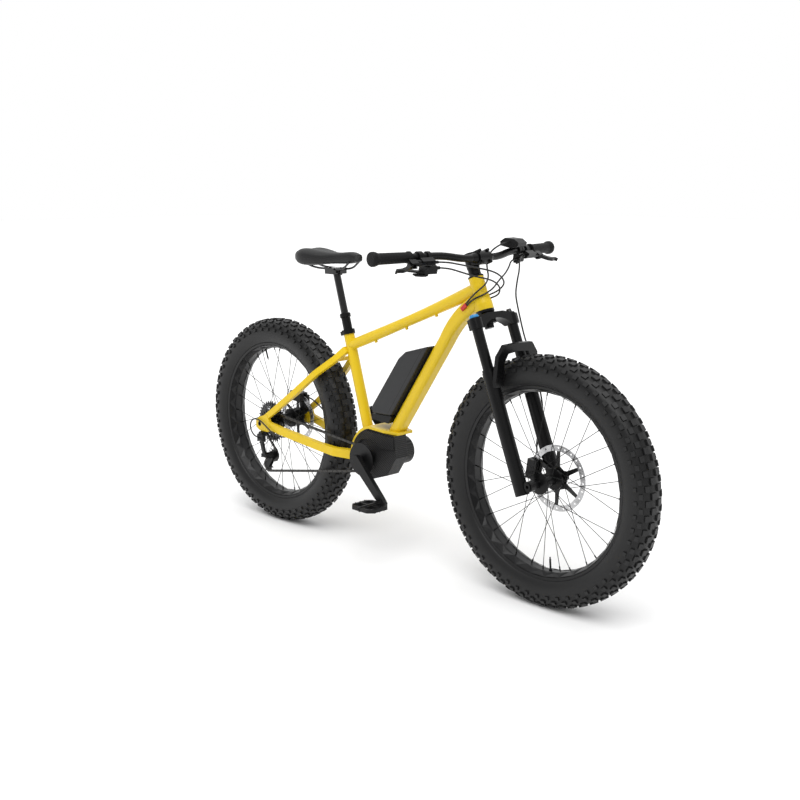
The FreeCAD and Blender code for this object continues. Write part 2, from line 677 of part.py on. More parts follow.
# Fork crown with steerer and upper tubes, one pressed assembly.
half_legs = size("leg_spacing") / 2
leg_x = size("leg_offset")
low = size("crown_bottom")
high = size("crown_top")
steer_up = steering.Rotation.multVec(UP)
steerer = rod("steerer", "dim.steerer_diameter / 2", "%.3f" % (stem_top - 3 - low),
              on_steering(0, 0, low + 1), steer_up)
upper_tubes = [rod("stanchion_%d" % side, "dim.stanchion_diameter / 2",
                   "dim.crown_top - dim.stanchion_bottom",
                   on_steering(leg_x, side * half_legs, size("stanchion_bottom")), steer_up)
                   for side in (-1, 1)]
sleeves = [rod("crown_sleeve_%d" % side, "dim.stanchion_diameter / 2 + 4",
               "dim.crown_top - dim.crown_bottom - 2",
               on_steering(leg_x, side * half_legs, low), steer_up) for side in (-1, 1)]
boss = rod("crown_boss", "dim.head_bottom_diameter / 2 - 3", "dim.fork_length - dim.crown_bottom - 14",
           on_steering(0, 0, low + 14), steer_up)
arm = half_legs + 15
crown_marks = [Vector(4, y, z) for y, z in (
    (-arm, high - 3), (-34, crown_seat), (34, crown_seat), (arm, high - 3), (arm, low),
    (half_legs - 17, low),
    (0, low + 24), (17 - half_legs, low), (-arm, low))]
crown_edges = [Part.LineSegment(a, b) for a, b in zip(crown_marks[:5], crown_marks[1:6])]
crown_edges.append(Part.Arc(*crown_marks[5:8]))
crown_edges += [Part.LineSegment(crown_marks[7], crown_marks[8]),
                Part.LineSegment(crown_marks[8], crown_marks[0])]
crown_wire = Part.Wire([edge.toShape() for edge in crown_edges])
crown_beam = shaped("crown_beam", extruded(crown_wire, Vector(leg_x + 12, 0, 0)), steering)
fork_upper = fuse("fork_upper_piece", [steerer, crown_beam, boss] + upper_tubes + sleeves)
keep(fork_upper, "fork_crown")

# Caps on the upper tubes: a damper cap on the right, an air cap on the left.
caps = []
for side, wide, tall in ((-1, 14, 9), (1, 9, 14)):
    cap = turned("fork_cap_%d" % (side + 1), (
        ("0", "0"), ("15", "0"), ("15", "3"), (str(wide), "5"), (str(wide - 2), str(tall)),
        ("0", str(tall))),
        "XZ_Plane")
    cap.Placement = steering.multiply(at(Vector(leg_x, side * half_legs, high)))
    caps.append(cut("fork_cap_fit_%d" % (side + 1), cap, fork_upper))
keep(group("fork_cap_pair", caps), "fork_caps")

# Fork lowers: two legs with an arch ahead of them and dropouts for the front axle.
legs = [rod("leg_%d" % side, "dim.leg_diameter / 2", "dim.leg_top + dim.leg_drop",
            on_steering(leg_x, side * half_legs, -size("leg_drop")), steer_up) for side in (-1, 1)]
wipers = [rod("wiper_%d" % side, "dim.leg_diameter / 2 - 1.5", "8",
              on_steering(leg_x, side * half_legs, size("leg_top")), steer_up) for side in (-1, 1)]
half_hub = size("front_hub_width") / 2
axle_x = size("fork_offset")
ends = []
for side in (-1, 1):
    start = on_steering(axle_x, side * half_hub if side > 0 else -half_hub - 20, 0)
    ends.append(rod("fork_end_%d" % side, "16", "20", start, ACROSS))
    web_low = Vector(leg_x, side * half_hub if side > 0 else -half_hub - 18, -15)
    ends.append(block("fork_web_%d" % side, ("dim.fork_offset - dim.leg_offset", "18", "29"), web_low,
                      steering))
leg_inner = half_legs - size("leg_diameter") / 2
ARCH_FOOT = size("leg_top") - 48
ARCH_RISE = wheel_radius + 40
lean = Rotation(ACROSS, 24)
arch_place = steering.multiply(Placement(Vector(leg_x + 14, 0, ARCH_FOOT), lean))
arch_high = (ARCH_RISE - ARCH_FOOT) / math.cos(math.radians(24))
ARCH_THICK = 24
arch_outer = ((half_legs + 16, 0), (half_legs + 9, arch_high - 34), (half_legs - 18, arch_high - 2),
              (0, arch_high))
arch_inner = ((0, arch_high - ARCH_THICK), (leg_inner - 14, arch_high - ARCH_THICK - 4),
              (leg_inner + 1, arch_high - 52), (leg_inner + 2, 0))


def arch_limb(corners):
    return extruded(polygon([Vector(-6, y, z) for y, z in corners]), Vector(14, 0, 0))


# The arch is an upright and a corner to a side, with the bridge between them.
upright = arch_limb((arch_outer[0], arch_outer[1], arch_inner[2], arch_inner[3]))
corner = arch_limb((arch_outer[1], arch_outer[2], arch_inner[1], arch_inner[2]))
half_bridge = arch_limb((arch_outer[2], arch_outer[3], arch_inner[0], arch_inner[1]))
bridge = half_bridge.fuse(half_bridge.mirror(Vector(), ACROSS)).removeSplitter()
limbs = [upright, upright.mirror(Vector(), ACROSS), corner, corner.mirror(Vector(), ACROSS), bridge]
arch = [shaped("fork_arch_%d" % k, limb, arch_place) for k, limb in enumerate(limbs)]
# Two posts behind the left leg carry the front caliper.
FRONT_CALIPER_ANGLE = 150
caliper_reach = size("front_rotor_diameter") / 2 - size("rotor_track") / 2
caliper_turn = Rotation(ACROSS, -FRONT_CALIPER_ANGLE)
front_caliper_frame = steering.multiply(Placement(Vector(axle_x, size("front_rotor_side"), 0),
                                                  caliper_turn))
posts = [block("caliper_post_%d" % k, ("12", "20", "12"), Vector(caliper_reach - 34, 12, k * 24 - 6),
               front_caliper_frame) for k in (-1, 1)]
posts.append(block("caliper_foot", ("26", "14", "14"), Vector(-18, 70, 4), steering))
bores = [rod("leg_bore_%d" % side, "dim.stanchion_diameter / 2 + dim.run_gap", "dim.leg_top + 20",
             on_steering(leg_x, side * half_legs, size("stanchion_bottom") - 108), steer_up)
             for side in (-1, 1)]
bores.append(rod("front_axle_bore", "dim.front_axle_diameter / 2", "dim.front_hub_width + 60",
                 on_steering(axle_x, -half_hub - 30, 0), ACROSS))
leg_parts = fuse("leg_parts", legs + wipers + ends + posts)
lower_legs = cut("lower_legs", leg_parts, fuse("lowers_bores", bores))
arch_fits = [cut("arch_fit_%d" % k, limb, leg_parts) for k, limb in enumerate(arch)]
keep(group("fork_lowers_pieces", [lower_legs] + arch_fits), "fork_lowers")

# Front through axle, a tube with a turned head.
axle_rod = rod("front_axle_rod", "dim.front_axle_diameter / 2", "dim.front_hub_width + 40",
               on_steering(axle_x, -half_hub - 20, 0), ACROSS)
axle_head = rod("front_axle_head", "11", "3", on_steering(axle_x, -half_hub - 23, 0), ACROSS)
axle_hollow = rod("front_axle_hollow", "dim.axle_bore / 2", "dim.front_hub_width + 60",
                  on_steering(axle_x, -half_hub - 30, 0), ACROSS)
keep(cut("front_axle_tube", fuse("front_axle_piece", [axle_rod, axle_head]), axle_hollow), "front_axle")


def caliper(name, frame, reach):
    """A brake caliper over a disc: a slotted body and two pads; the frame's X points outwards."""
    thick = size("rotor_thickness")
    track = size("rotor_track")
    body = block(name + "_body", ("34", "34", "60"), Vector(reach - 20, -17, -30), frame)
    bridge_top = block(name + "_ears", ("12", "14", "76"), Vector(reach - 6, 3, -38), frame)
    slot = block(name + "_slot", ("dim.rotor_track + 15", "dim.rotor_thickness + 8", "90"),
                 Vector(reach - track / 2 - 12, -thick / 2 - 4, -45), frame)
    pads = [block(name + "_pad_%d" % k, ("dim.rotor_track - 2", "3", "34"),
                  Vector(reach - track / 2 + 1, thick / 2 + 1 if k else -thick / 2 - 4, -17), frame)
                  for k in (0, 1)]
    return cut(name + "_shell", fuse(name + "_parts", [body, bridge_top]), slot), pads


front_shell, front_pads = caliper("front_caliper", front_caliper_frame, caliper_reach)
post_room = fuse("post_room", [block("post_room_%d" % k, ("12.8", "20.8", "12.8"),
                 Vector(caliper_reach - 34.4, 11.6, k * 24 - 6.4), front_caliper_frame) for k in (-1, 1)])
leg_room = rod("leg_room", "dim.leg_diameter / 2 + dim.fit_gap", "dim.leg_top",
               on_steering(leg_x, half_legs, -size("leg_drop")), steer_up)
front_shell = cut("front_caliper_fit", front_shell, fuse("caliper_room", [post_room, leg_room]))
keep(group("front_caliper_group", [front_shell] + front_pads), "front_brake_caliper")

# Stem with its face plate.
stem_clamp = rod("stem_clamp", "dim.steerer_diameter / 2 + 5.5", "dim.stem_height",
                 on_steering(0, 0, stem_bottom), steer_up)
bar_mark = Vector(size("stem_length"), 0, bar_level)
half_clamp = size("bar_clamp_width") / 2
bar_clamp = rod("bar_clamp", "dim.bar_clamp_diameter / 2 + 5", "dim.bar_clamp_width",
                on_steering(bar_mark.x, -half_clamp, bar_level), ACROSS)
stem_body = block("stem_body", ("dim.stem_length", "34", "30"), Vector(0, -17, bar_level - 15), steering)
bolt_bosses = [local_rod("stem_bolt_%d_%d" % (a, b), steering, "4.5", "22",
                         Vector(bar_mark.x - 2, a * 18, bar_level + b * 18), ALONG_X)
               for a in (-1, 1) for b in (-1, 1)]
stem_cuts = [rod("stem_bore", "dim.steerer_diameter / 2", "dim.stem_height + 20",
                 on_steering(0, 0, stem_bottom - 10), steer_up),
             rod("bar_bore", "dim.bar_clamp_diameter / 2", "dim.bar_clamp_width + 20",
                 on_steering(bar_mark.x, -half_clamp - 10, bar_level), ACROSS),
             block("plate_gap", ("1.5", "90", "90"), Vector(bar_mark.x + 3, -45, bar_level - 45), steering)]
stem_parts = fuse("stem_parts", [stem_clamp, bar_clamp, stem_body] + bolt_bosses)
stem_piece = cut("stem_piece", stem_parts, fuse("stem_room", stem_cuts))

# Headset spacers and the top cap.
half_spacer = size("spacer_height") / 2
spacer_rings = []
for name, start in (("lower_spacer", cup_top), ("upper_spacer", cup_top + half_spacer)):
    ring = turned(name, (
        ("dim.steerer_diameter / 2", "0"), ("dim.steerer_diameter / 2 + 4", "0"),
        ("dim.steerer_diameter / 2 + 4", "dim.spacer_height / 2"),
        ("dim.steerer_diameter / 2", "dim.spacer_height / 2")), "XZ_Plane")
    ring.Placement = steering.multiply(at(Vector(0, 0, start)))
    spacer_rings.append(ring)
top_cap = rod("top_cap", "dim.steerer_diameter / 2 + 3", "6", on_steering(0, 0, stem_top), steer_up)
keep(group("stem_group", [stem_piece, top_cap] + spacer_rings), "stem")

# Handlebar: a low riser with a thicker middle.
bar_centre = on_steering(bar_mark.x, 0, bar_level)
half_bar = size("bar_width") / 2
bar_right = [bar_centre + Vector(-size("bar_end_back"), -half_bar, size("bar_rise") - 1),
             bar_centre + Vector(-size("bar_shoulder_back"), -size("bar_shoulder"), size("bar_rise")),
             bar_centre + Vector(0, -size("bar_middle"), 0)]
bar_points = bar_right + [Vector(p.x, -p.y, p.z) for p in reversed(bar_right)]
bar_radius = size("bar_diameter") / 2
bar_solid = tube(bar_points, bar_radius)[0]
swell_radius = size("bar_clamp_diameter") / 2
swell_half = half_clamp + 4
swell = solid_cylinder(swell_radius, bar_centre - ACROSS * swell_half, bar_centre + ACROSS * swell_half)
for side in (-1, 1):
    swell = swell.fuse(Part.makeCone(swell_radius, bar_radius, 16,
                                     bar_centre + ACROSS * (side * swell_half),
                                     ACROSS * side))
bar_hollow = tube(bar_points, bar_radius - size("bar_wall"))[0]
keep(shaped("bar_piece", bar_solid.fuse(swell).cut(bar_hollow)), "handlebar")

# Frames on the right half of the bar: Z points outwards along it, X forwards, Y upwards.
bar_out = (bar_right[0] - bar_right[1]).normalize()
bar_forward = (ALONG_X - bar_out * bar_out.x).normalize()
bar_turn = Rotation(bar_forward, Vector(0, 0, 0), bar_out, "ZXY")


def bar_frame(from_end, tilt=0.0):
    """A frame on the bar's axis, a distance in from the bar's end, tipped forwards and down."""
    return Placement(bar_right[0] - bar_out * from_end, bar_turn).multiply(
        Placement(Vector(), Rotation(Vector(0, 0, 1), -tilt)))


# Grips with flared ends that close over the bar.
grip = turned("grip_body", (
    ("dim.bar_diameter / 2 + dim.run_gap", "-dim.grip_length"),
    ("dim.grip_diameter / 2 + 1", "-dim.grip_length"),
    ("dim.grip_diameter / 2 + 1", "-dim.grip_length + 8"),
    ("dim.grip_diameter / 2 - 1", "-dim.grip_length + 11"),
    ("dim.grip_diameter / 2", "-22"),
    ("dim.grip_diameter / 2 + 4.5", "-9"),
    ("dim.grip_diameter / 2 + 4.5", "0"),
    ("dim.grip_diameter / 2 + 2", "4"),
    ("0", "5"),
    ("0", "0.2"),
    ("dim.bar_diameter / 2 + dim.run_gap", "0.2"),
), "XZ_Plane")
grip.Placement = bar_frame(0)
keep(group("grip_pair", [grip, mirrored("grip_mirror", grip)]), "grips")

# Brake lever bodies: clamp, neck, master cylinder, pivot ears and pin.
LEVER_TILT = 32
brake_frame = bar_frame(size("grip_length") + 32, LEVER_TILT)
Z_DIR = Vector(0, 0, 1)
Y_DIR = Vector(0, 1, 0)
PIVOT = Vector(32, 0, 45)
clamp_ring = local_rod("brake_clamp", brake_frame, "dim.bar_diameter / 2 + 5", "15", Vector(0, 0, -7.5),
                       Z_DIR)
brake_neck = block("brake_neck", ("18", "15", "15"), Vector(8, -7.5, -7.5), brake_frame)
cylinder_body = local_rod("master_cylinder", brake_frame, "9.5", "70", Vector(29, 0, -36), Z_DIR)
tank = block("brake_tank", ("18", "9", "44"), Vector(20, 3, -32), brake_frame)
hose_nut = local_rod("hose_nut", brake_frame, "4.5", "14", Vector(29, 0, -50), Z_DIR)
pivot_ears = [block("pivot_ear_%d" % k, ("20", "4", "24"), Vector(22, 5.5 if k else -9.5, 28), brake_frame)
              for k in (0, 1)]
pivot_pin = local_rod("pivot_pin", brake_frame, "3", "19", PIVOT - Y_DIR * 9.5, Y_DIR)
brake_bore = local_rod("brake_bore", brake_frame, "dim.bar_diameter / 2", "40", Vector(0, 0, -20), Z_DIR)
lever_room = block("lever_room", ("40", "11", "24"), Vector(10, -5.5, 34.5), brake_frame)
body_parts = fuse("brake_parts", [clamp_ring, brake_neck, cylinder_body, tank, hose_nut] + pivot_ears)
body_cut = cut("brake_cut", body_parts, fuse("brake_room", [brake_bore, lever_room]))
brake_body = fuse("brake_body", [body_cut, pivot_pin])
keep(brake_body, "right_brake_body")
keep(mirrored("brake_body_mirror", brake_body), "left_brake_body")

# Brake levers: a bored boss on the pivot pin and a hooked blade.
BLADE = ((30, 39), (38, 41), (57, 70), (63, 90), (62, 110), (67, 116), (64, 120), (56, 114), (54, 92),
         (48, 76), (28, 51))
blade_wire = polygon([Vector(x, -5, z) for x, z in BLADE])
lever_blade = shaped("lever_blade", extruded(blade_wire, Vector(0, 10, 0)), brake_frame)
lever_boss = local_rod("lever_boss", brake_frame, "7", "10", PIVOT - Y_DIR * 5, Y_DIR)
lever_bore = local_rod("lever_bore", brake_frame, "3 + dim.run_gap", "30", PIVOT - Y_DIR * 15, Y_DIR)
brake_lever = cut("brake_lever", fuse("lever_parts", [lever_blade, lever_boss]), lever_bore)
keep(brake_lever, "right_brake_lever")
keep(mirrored("brake_lever_mirror", brake_lever), "left_brake_lever")

# Shifter under the right of the bar, with a push paddle and a release paddle on one pivot.
shift_frame = bar_frame(size("grip_length") + 62, 20)
SHIFT_PIN = Vector(10, 0, 0)
shift_clamp = local_rod("shift_clamp", shift_frame, "dim.bar_diameter / 2 + 4", "11", Vector(0, 0, -5.5),
                        Z_DIR)
shift_neck = block("shift_neck", ("16", "14", "11"), Vector(2, -22, -5.5), shift_frame)
shift_case = block("shift_case", ("34", "22", "42"), Vector(-4, -42, -24), shift_frame)
shift_nose = local_rod("shift_nose", shift_frame, "5", "18", Vector(16, -30, -40), Z_DIR)
shift_pin = local_rod("shift_pin", shift_frame, "3", "18", SHIFT_PIN + Vector(0, -58, 0), Y_DIR)
shift_bore = local_rod("shift_bore", shift_frame, "dim.bar_diameter / 2", "40", Vector(0, 0, -20), Z_DIR)
keep(cut("shifter_piece",
         fuse("shifter_parts", [shift_clamp, shift_neck, shift_case, shift_nose, shift_pin]), shift_bore),
     "shifter_body")


def paddle(name, frame, pin, level, corners):
    """A flat thumb paddle with a bored eye on an upright pin."""
    plate_outline = polygon([Vector(x, level, z) for x, z in corners])
    plate_piece = shaped(name + "_plate", extruded(plate_outline, Vector(0, 5, 0)), frame)
    eye = local_rod(name + "_eye", frame, "8", "5", Vector(pin.x, level, pin.z), Y_DIR)
    hole = local_rod(name + "_hole", frame, "3 + dim.run_gap", "30", Vector(pin.x, level - 10, pin.z),
                     Y_DIR)
    return cut(name + "_piece", fuse(name + "_parts", [plate_piece, eye]), hole)


keep(paddle("push_paddle", shift_frame, SHIFT_PIN, -48,
            ((16, -4), (14, 10), (0, 40), (-6, 54), (-20, 56), (-22, 44), (-8, 30), (2, -2))),
            "shift_push_paddle")
keep(paddle("release_paddle", shift_frame, SHIFT_PIN, -54,
            ((17, 0), (20, 16), (14, 38), (2, 40), (4, 20), (3, 0))), "shift_release_paddle")

# Dropper remote under the left of the bar, made on the right and mirrored.
remote_frame = bar_frame(size("grip_length") + 58, 8)
REMOTE_PIN = Vector(-3, 0, -1)
remote_clamp = local_rod("remote_clamp", remote_frame, "dim.bar_diameter / 2 + 4", "10", Vector(0, 0, -5),
                         Z_DIR)
remote_case = block("remote_case", ("26", "20", "24"), Vector(-15, -34, -9), remote_frame)
remote_neck = block("remote_neck", ("14", "10", "10"), Vector(-6, -20, -5), remote_frame)
remote_nose = local_rod("remote_nose", remote_frame, "4", "12", Vector(1, -26, -21), Z_DIR)
remote_pin = local_rod("remote_pin", remote_frame, "3", "12", REMOTE_PIN + Vector(0, -44, 0), Y_DIR)
remote_bore = local_rod("remote_bore", remote_frame, "dim.bar_diameter / 2", "40", Vector(0, 0, -20), Z_DIR)
remote_parts = fuse("remote_parts", [remote_clamp, remote_case, remote_neck, remote_nose, remote_pin])
keep(mirrored("remote_mirror", cut("remote_piece", remote_parts, remote_bore)), "dropper_remote")
remote_paddle = paddle("remote_paddle", remote_frame, REMOTE_PIN, -40,
                       ((3, -12), (3, 6), (-7, 30), (-23, 36), (-31, 24), (-13, 6), (-10, -12)))
keep(mirrored("remote_paddle_mirror", remote_paddle), "dropper_paddle")

# Display unit: an angular case over the left of the bar, on its own clamp.
display_spot = bar_frame(half_bar - 190, 12)
DISPLAY = ((-20, 14), (-24, 26), (-10, 40), (22, 44), (40, 36), (38, 24), (14, 14))
DISPLAY_INNER = -72
display_wire = polygon([Vector(x, y, DISPLAY_INNER) for x, y in DISPLAY])
display_case = shaped("display_case", extruded(display_wire, Vector(0, 0, 52)), display_spot)
display_clamp = local_rod("display_clamp", display_spot, "dim.bar_diameter / 2 + 5", "14",
                          Vector(0, 0, -7), Z_DIR)
display_arm = block("display_arm", ("20", "11", "30"), Vector(-10, 14, -23), display_spot)
display_bore = local_rod("display_bore", display_spot, "dim.bar_diameter / 2", "40", Vector(0, 0, -20),
                         Z_DIR)
display_piece = cut("display_piece", fuse("display_parts", [display_case, display_clamp, display_arm]),
                    display_bore)
keep(mirrored("display_mirror", display_piece), "display_unit")


# Wheels. Rims and hubs are turned about the wheel's axle.
RIM = (
    ("dim.bead_diameter / 2 + dim.rim_lip", "dim.rim_width / 2"),
    ("dim.bead_diameter / 2 + dim.rim_lip", "dim.rim_width / 2 - 2.5"),
    ("dim.bead_diameter / 2", "dim.rim_width / 2 - 3.5"),
    ("dim.bead_diameter / 2 - 1", "dim.rim_width / 2 - 16"),
    ("dim.bead_diameter / 2 - dim.rim_well", "14"),
    ("dim.bead_diameter / 2 - dim.rim_well", "-14"),
    ("dim.bead_diameter / 2 - 1", "16 - dim.rim_width / 2"),
    ("dim.bead_diameter / 2", "3.5 - dim.rim_width / 2"),
    ("dim.bead_diameter / 2 + dim.rim_lip", "2.5 - dim.rim_width / 2"),
    ("dim.bead_diameter / 2 + dim.rim_lip", "-dim.rim_width / 2"),
    ("dim.bead_diameter / 2 - 2.5", "2 - dim.rim_width / 2"),
    ("dim.bead_diameter / 2 - dim.rim_well - dim.rim_wall", "-13"),
    ("dim.bead_diameter / 2 - dim.rim_well - dim.rim_wall", "13"),
    ("dim.bead_diameter / 2 - 2.5", "dim.rim_width / 2 - 2"),
)
bead = size("bead_diameter") / 2
half_rim = size("rim_width") / 2
rim_inside = bead - size("rim_well") - size("rim_wall")


def turned_about(axis_angle, vector):
    return Rotation(ACROSS, axis_angle).multVec(vector)


def rim(name, axle, valve_angle):
    """A rim and its valve, which stands inwards from the rim's middle."""
    body = turned(name + "_rim_body", RIM)
    body.Placement = at(axle)
    inwards = turned_about(valve_angle, Vector(-1, 0, 0))
    foot = axle - inwards * (rim_inside - 0.2)
    stem = rod(name + "_valve_stem", "3", "34", foot, inwards)
    nut = rod(name + "_valve_nut", "5", "4", foot, inwards)
    tip = rod(name + "_valve_tip", "2", "40", foot, inwards)
    return group(name + "_rim_group", [body, fuse(name + "_valve", [stem, nut, tip])])


keep(rim("front", front_axle, 85), "front_rim")
keep(rim("rear", rear_axle, 250), "rear_rim")

# Tyre casing with tread knobs: one tread repeat is made, then turned round the wheel and sewn.
casing_radius = wheel_radius - size("knob_height")
half_tyre = size("tyre_width") / 2
wall = size("tyre_wall")
shoulder = Vector(casing_radius - 15, half_tyre - 9, 0)
crown_arc_radius = (shoulder.y ** 2 + 15 ** 2) / 30
bead_foot = Vector(bead + 0.2, half_rim - 4.2, 0)
bead_top = Vector(bead + size("rim_lip") + 1.3, half_rim - 4, 0)
widest = Vector(bead + (casing_radius - bead) * 0.49, half_tyre, 0)


def crown_height(side):
    """Casing radius at a distance from the tyre's middle."""
    return casing_radius - crown_arc_radius + math.sqrt(crown_arc_radius ** 2 - side ** 2)


def other_side(point):
    return Vector(point.x, -point.y, 0)


outer = [bead_foot, bead_top, widest, shoulder]
inner = [bead_foot - Vector(0, 4, 0), bead_top - Vector(0, 4, 0), widest - Vector(0, wall, 0),
         shoulder - Vector(wall * 0.75, wall * 0.66, 0)]
crown_out = Vector(casing_radius, 0, 0)
crown_in = Vector(casing_radius - wall, 0, 0)
casing_edges = [
    Part.LineSegment(outer[0], outer[1]), Part.Arc(outer[1], outer[2], outer[3]),
    Part.Arc(outer[3], crown_out, other_side(outer[3])),
    Part.Arc(other_side(outer[3]), other_side(outer[2]), other_side(outer[1])),
    Part.LineSegment(other_side(outer[1]), other_side(outer[0])),
    Part.LineSegment(other_side(outer[0]), other_side(inner[0])),
    Part.LineSegment(other_side(inner[0]), other_side(inner[1])),
    Part.Arc(other_side(inner[1]), other_side(inner[2]), other_side(inner[3])),
    Part.Arc(other_side(inner[3]), crown_in, inner[3]), Part.Arc(inner[3], inner[2], inner[1]),
    Part.LineSegment(inner[1], inner[0]), Part.LineSegment(inner[0], outer[0])]
repeat = 360 / size("knob_rows")
tyre_axis = (Vector(), ACROSS)
casing = Part.Face(Part.Wire([edge.toShape() for edge in casing_edges])).revolve(*tyre_axis, repeat)
sink = 1.5
deep = size("knob_height")
KNOBS = ((2.5, 16, 0.08, 0.60, 1), (19.5, 31, 0.36, 0.86, 1), (34, 41, 0.10, 0.52, 1),
         (2.5, 16, 0.42, 0.94, -1), (19.5, 31, 0.12, 0.62, -1), (34, 41, 0.52, 0.94, -1))
knobs = []
for near, far, start, end, hand in KNOBS:
    flare = 3.5 if far > 35 else 0
    profile = [(crown_height(near) - sink, near), (crown_height(near) + deep, near),
               (crown_height(far) + deep - flare * 0.3, far + flare), (crown_height(far) - sink, far)]
    face = Part.Face(polygon([Vector(reach, hand * side, 0) for reach, side in profile]))
    face.rotate(Vector(), ACROSS, repeat * start)
    knobs.append(face.revolve(*tyre_axis, repeat * (end - start)))
section = casing.fuse(knobs)


def on_end(face):
    """True for the flat faces where one tread repeat meets the next."""
    turns = [math.degrees(math.atan2(-corner.Z, corner.X)) for corner in face.Vertexes]
    return all(abs(turn) < 1e-4 for turn in turns) or all(abs(turn - repeat) < 1e-4 for turn in turns)


skin = [face for face in section.Faces if not on_end(face)]
tyre_faces = []
for number in range(int(size("knob_rows"))):
    for face in skin:
        copy = face.copy()
        copy.rotate(Vector(), ACROSS, repeat * number)
        tyre_faces.append(copy)
tyre_shell = Part.makeCompound(tyre_faces)
tyre_shell.sewShape()
tyre_solid = Part.Solid(tyre_shell.Shells[0])
if tyre_solid.Volume < 0:
    tyre_solid.reverse()
keep(shaped("front_tyre_piece", tyre_solid, at(front_axle)), "front_tyre")
keep(shaped("rear_tyre_piece", tyre_solid, at(rear_axle)), "rear_tyre")

# Hubs with two flanges; the disc seats on the left.
front_hub = turned("front_hub_body", (
    ("dim.front_axle_diameter / 2 + dim.run_gap", "dim.move_gap - dim.front_hub_width / 2"),
    ("12", "dim.move_gap - dim.front_hub_width / 2"),
    ("12", "-dim.front_flange_spacing / 2 - 8"),
    ("dim.front_flange_diameter / 2", "-dim.front_flange_spacing / 2 - 3"),
    ("dim.front_flange_diameter / 2", "-dim.front_flange_spacing / 2 + 3"),
    ("16", "-dim.front_flange_spacing / 2 + 8"),
    ("16", "dim.front_flange_spacing / 2 - 8"),
    ("dim.front_flange_diameter / 2", "dim.front_flange_spacing / 2 - 3"),
    ("dim.front_flange_diameter / 2", "dim.front_flange_spacing / 2 + 3"),
    ("24", "dim.front_flange_spacing / 2 + 8"),
    ("24", "dim.front_rotor_side - dim.rotor_thickness / 2"),
    ("12", "dim.front_rotor_side - dim.rotor_thickness / 2"),
    ("12", "dim.front_hub_width / 2 - dim.move_gap"),
    ("dim.front_axle_diameter / 2 + dim.run_gap", "dim.front_hub_width / 2 - dim.move_gap"),
))
front_hub.Placement = at(front_axle)
keep(front_hub, "front_hub")
rear_hub = turned("rear_hub_body", (
    ("dim.rear_axle_diameter / 2 + dim.run_gap", "-dim.rear_flange_spacing / 2 - 7"),
    ("22", "-dim.rear_flange_spacing / 2 - 7"),
    ("dim.rear_flange_diameter / 2", "-dim.rear_flange_spacing / 2 - 3"),
    ("dim.rear_flange_diameter / 2", "-dim.rear_flange_spacing / 2 + 3"),
    ("20", "-dim.rear_flange_spacing / 2 + 9"),
    ("20", "dim.rear_flange_spacing / 2 - 9"),
    ("dim.rear_flange_diameter / 2", "dim.rear_flange_spacing / 2 - 3"),
    ("dim.rear_flange_diameter / 2", "dim.rear_flange_spacing / 2 + 3"),
    ("24", "dim.rear_flange_spacing / 2 + 8"),
    ("24", "dim.rear_rotor_side - dim.rotor_thickness / 2"),
    ("13", "dim.rear_rotor_side - dim.rotor_thickness / 2"),
    ("13", "dim.rear_hub_width / 2 - dim.move_gap"),
    ("dim.rear_axle_diameter / 2 + dim.run_gap", "dim.rear_hub_width / 2 - dim.move_gap"),
))
rear_hub.Placement = at(rear_axle)
keep(rear_hub, "rear_hub")


def spokes(axle, flange_diameter, flange_spacing):
    """Crossed spokes with their nipples, from both flanges to the rim's middle."""
    pieces = []
    count = int(size("spoke_count"))
    wire = size("spoke_diameter") / 2
    nipple = size("nipple_diameter") / 2
    for number in range(count):
        hand = 1 if number % 2 else -1
        lead = 1 if (number // 2) % 2 else -1
        angle = 360 / count * number
        flange = turned_about(angle + lead * 68, Vector(flange_diameter / 2 + 1.3, 0, 0))
        start = axle + flange + ACROSS * (hand * (flange_spacing / 2 + lead * 1.7))
        end = axle + turned_about(angle, Vector(rim_inside - 0.5, 0, 0)) + ACROSS * (hand * (7 + lead))
        along = Vector(end - start).normalize()
        seat_point = end - along * 12
        pieces.append(solid_cylinder(wire, start, seat_point).fuse(solid_cylinder(nipple, seat_point, end)))
    return Part.makeCompound(pieces)


keep(shaped("front_spoke_set",
            spokes(front_axle, size("front_flange_diameter"), size("front_flange_spacing"))),
     "front_spokes")
keep(shaped("rear_spoke_set", spokes(rear_axle, size("rear_flange_diameter"), size("rear_flange_spacing"))),
     "rear_spokes")


def patterned_cut(body, name, corners, circle, count):
    """A pocket through a disc, from a polygon or a round hole, repeated round the axle."""
    if corners:
        sketch = outline(body, "XZ_Plane", corners)
    else:
        sketch = body.newObject("Sketcher::SketchObject", name + "_hole")
        support = [face for face in body.Origin.OriginFeatures if face.Role == "XZ_Plane"][0]
        sketch.AttachmentSupport = (support, [""])
        sketch.MapMode = "FlatFace"
        reach = amount_of(circle[0])
        sketch.addGeometry(Part.Circle(Vector(reach, 0, 0), Vector(0, 0, 1), amount_of(circle[1])))
        spot = sketch.addConstraint(Sketcher.Constraint("DistanceX", -1, 1, 0, 3, reach))
        sketch.setExpression("Constraints[%d]" % spot, circle[0])
        sketch.addConstraint(Sketcher.Constraint("PointOnObject", 0, 3, -1))
        round_size = sketch.addConstraint(Sketcher.Constraint("Radius", 0, amount_of(circle[1])))
        sketch.setExpression("Constraints[%d]" % round_size, circle[1])
    pocket = body.newObject("PartDesign::Pocket", name)
    pocket.Profile = sketch
    pocket.Length = 20
    pocket.SideType = "Symmetric"
    doc.recompute()
    turn_axis = [line for line in body.Origin.OriginFeatures if line.Role == "Y_Axis"][0]
    pattern = body.newObject("PartDesign::PolarPattern", name + "_round")
    pattern.Originals = [pocket]
    pattern.Axis = (turn_axis, [""])
    pattern.Angle = 360
    pattern.Occurrences = count
    body.Tip = pattern
    doc.recompute()
    return pattern


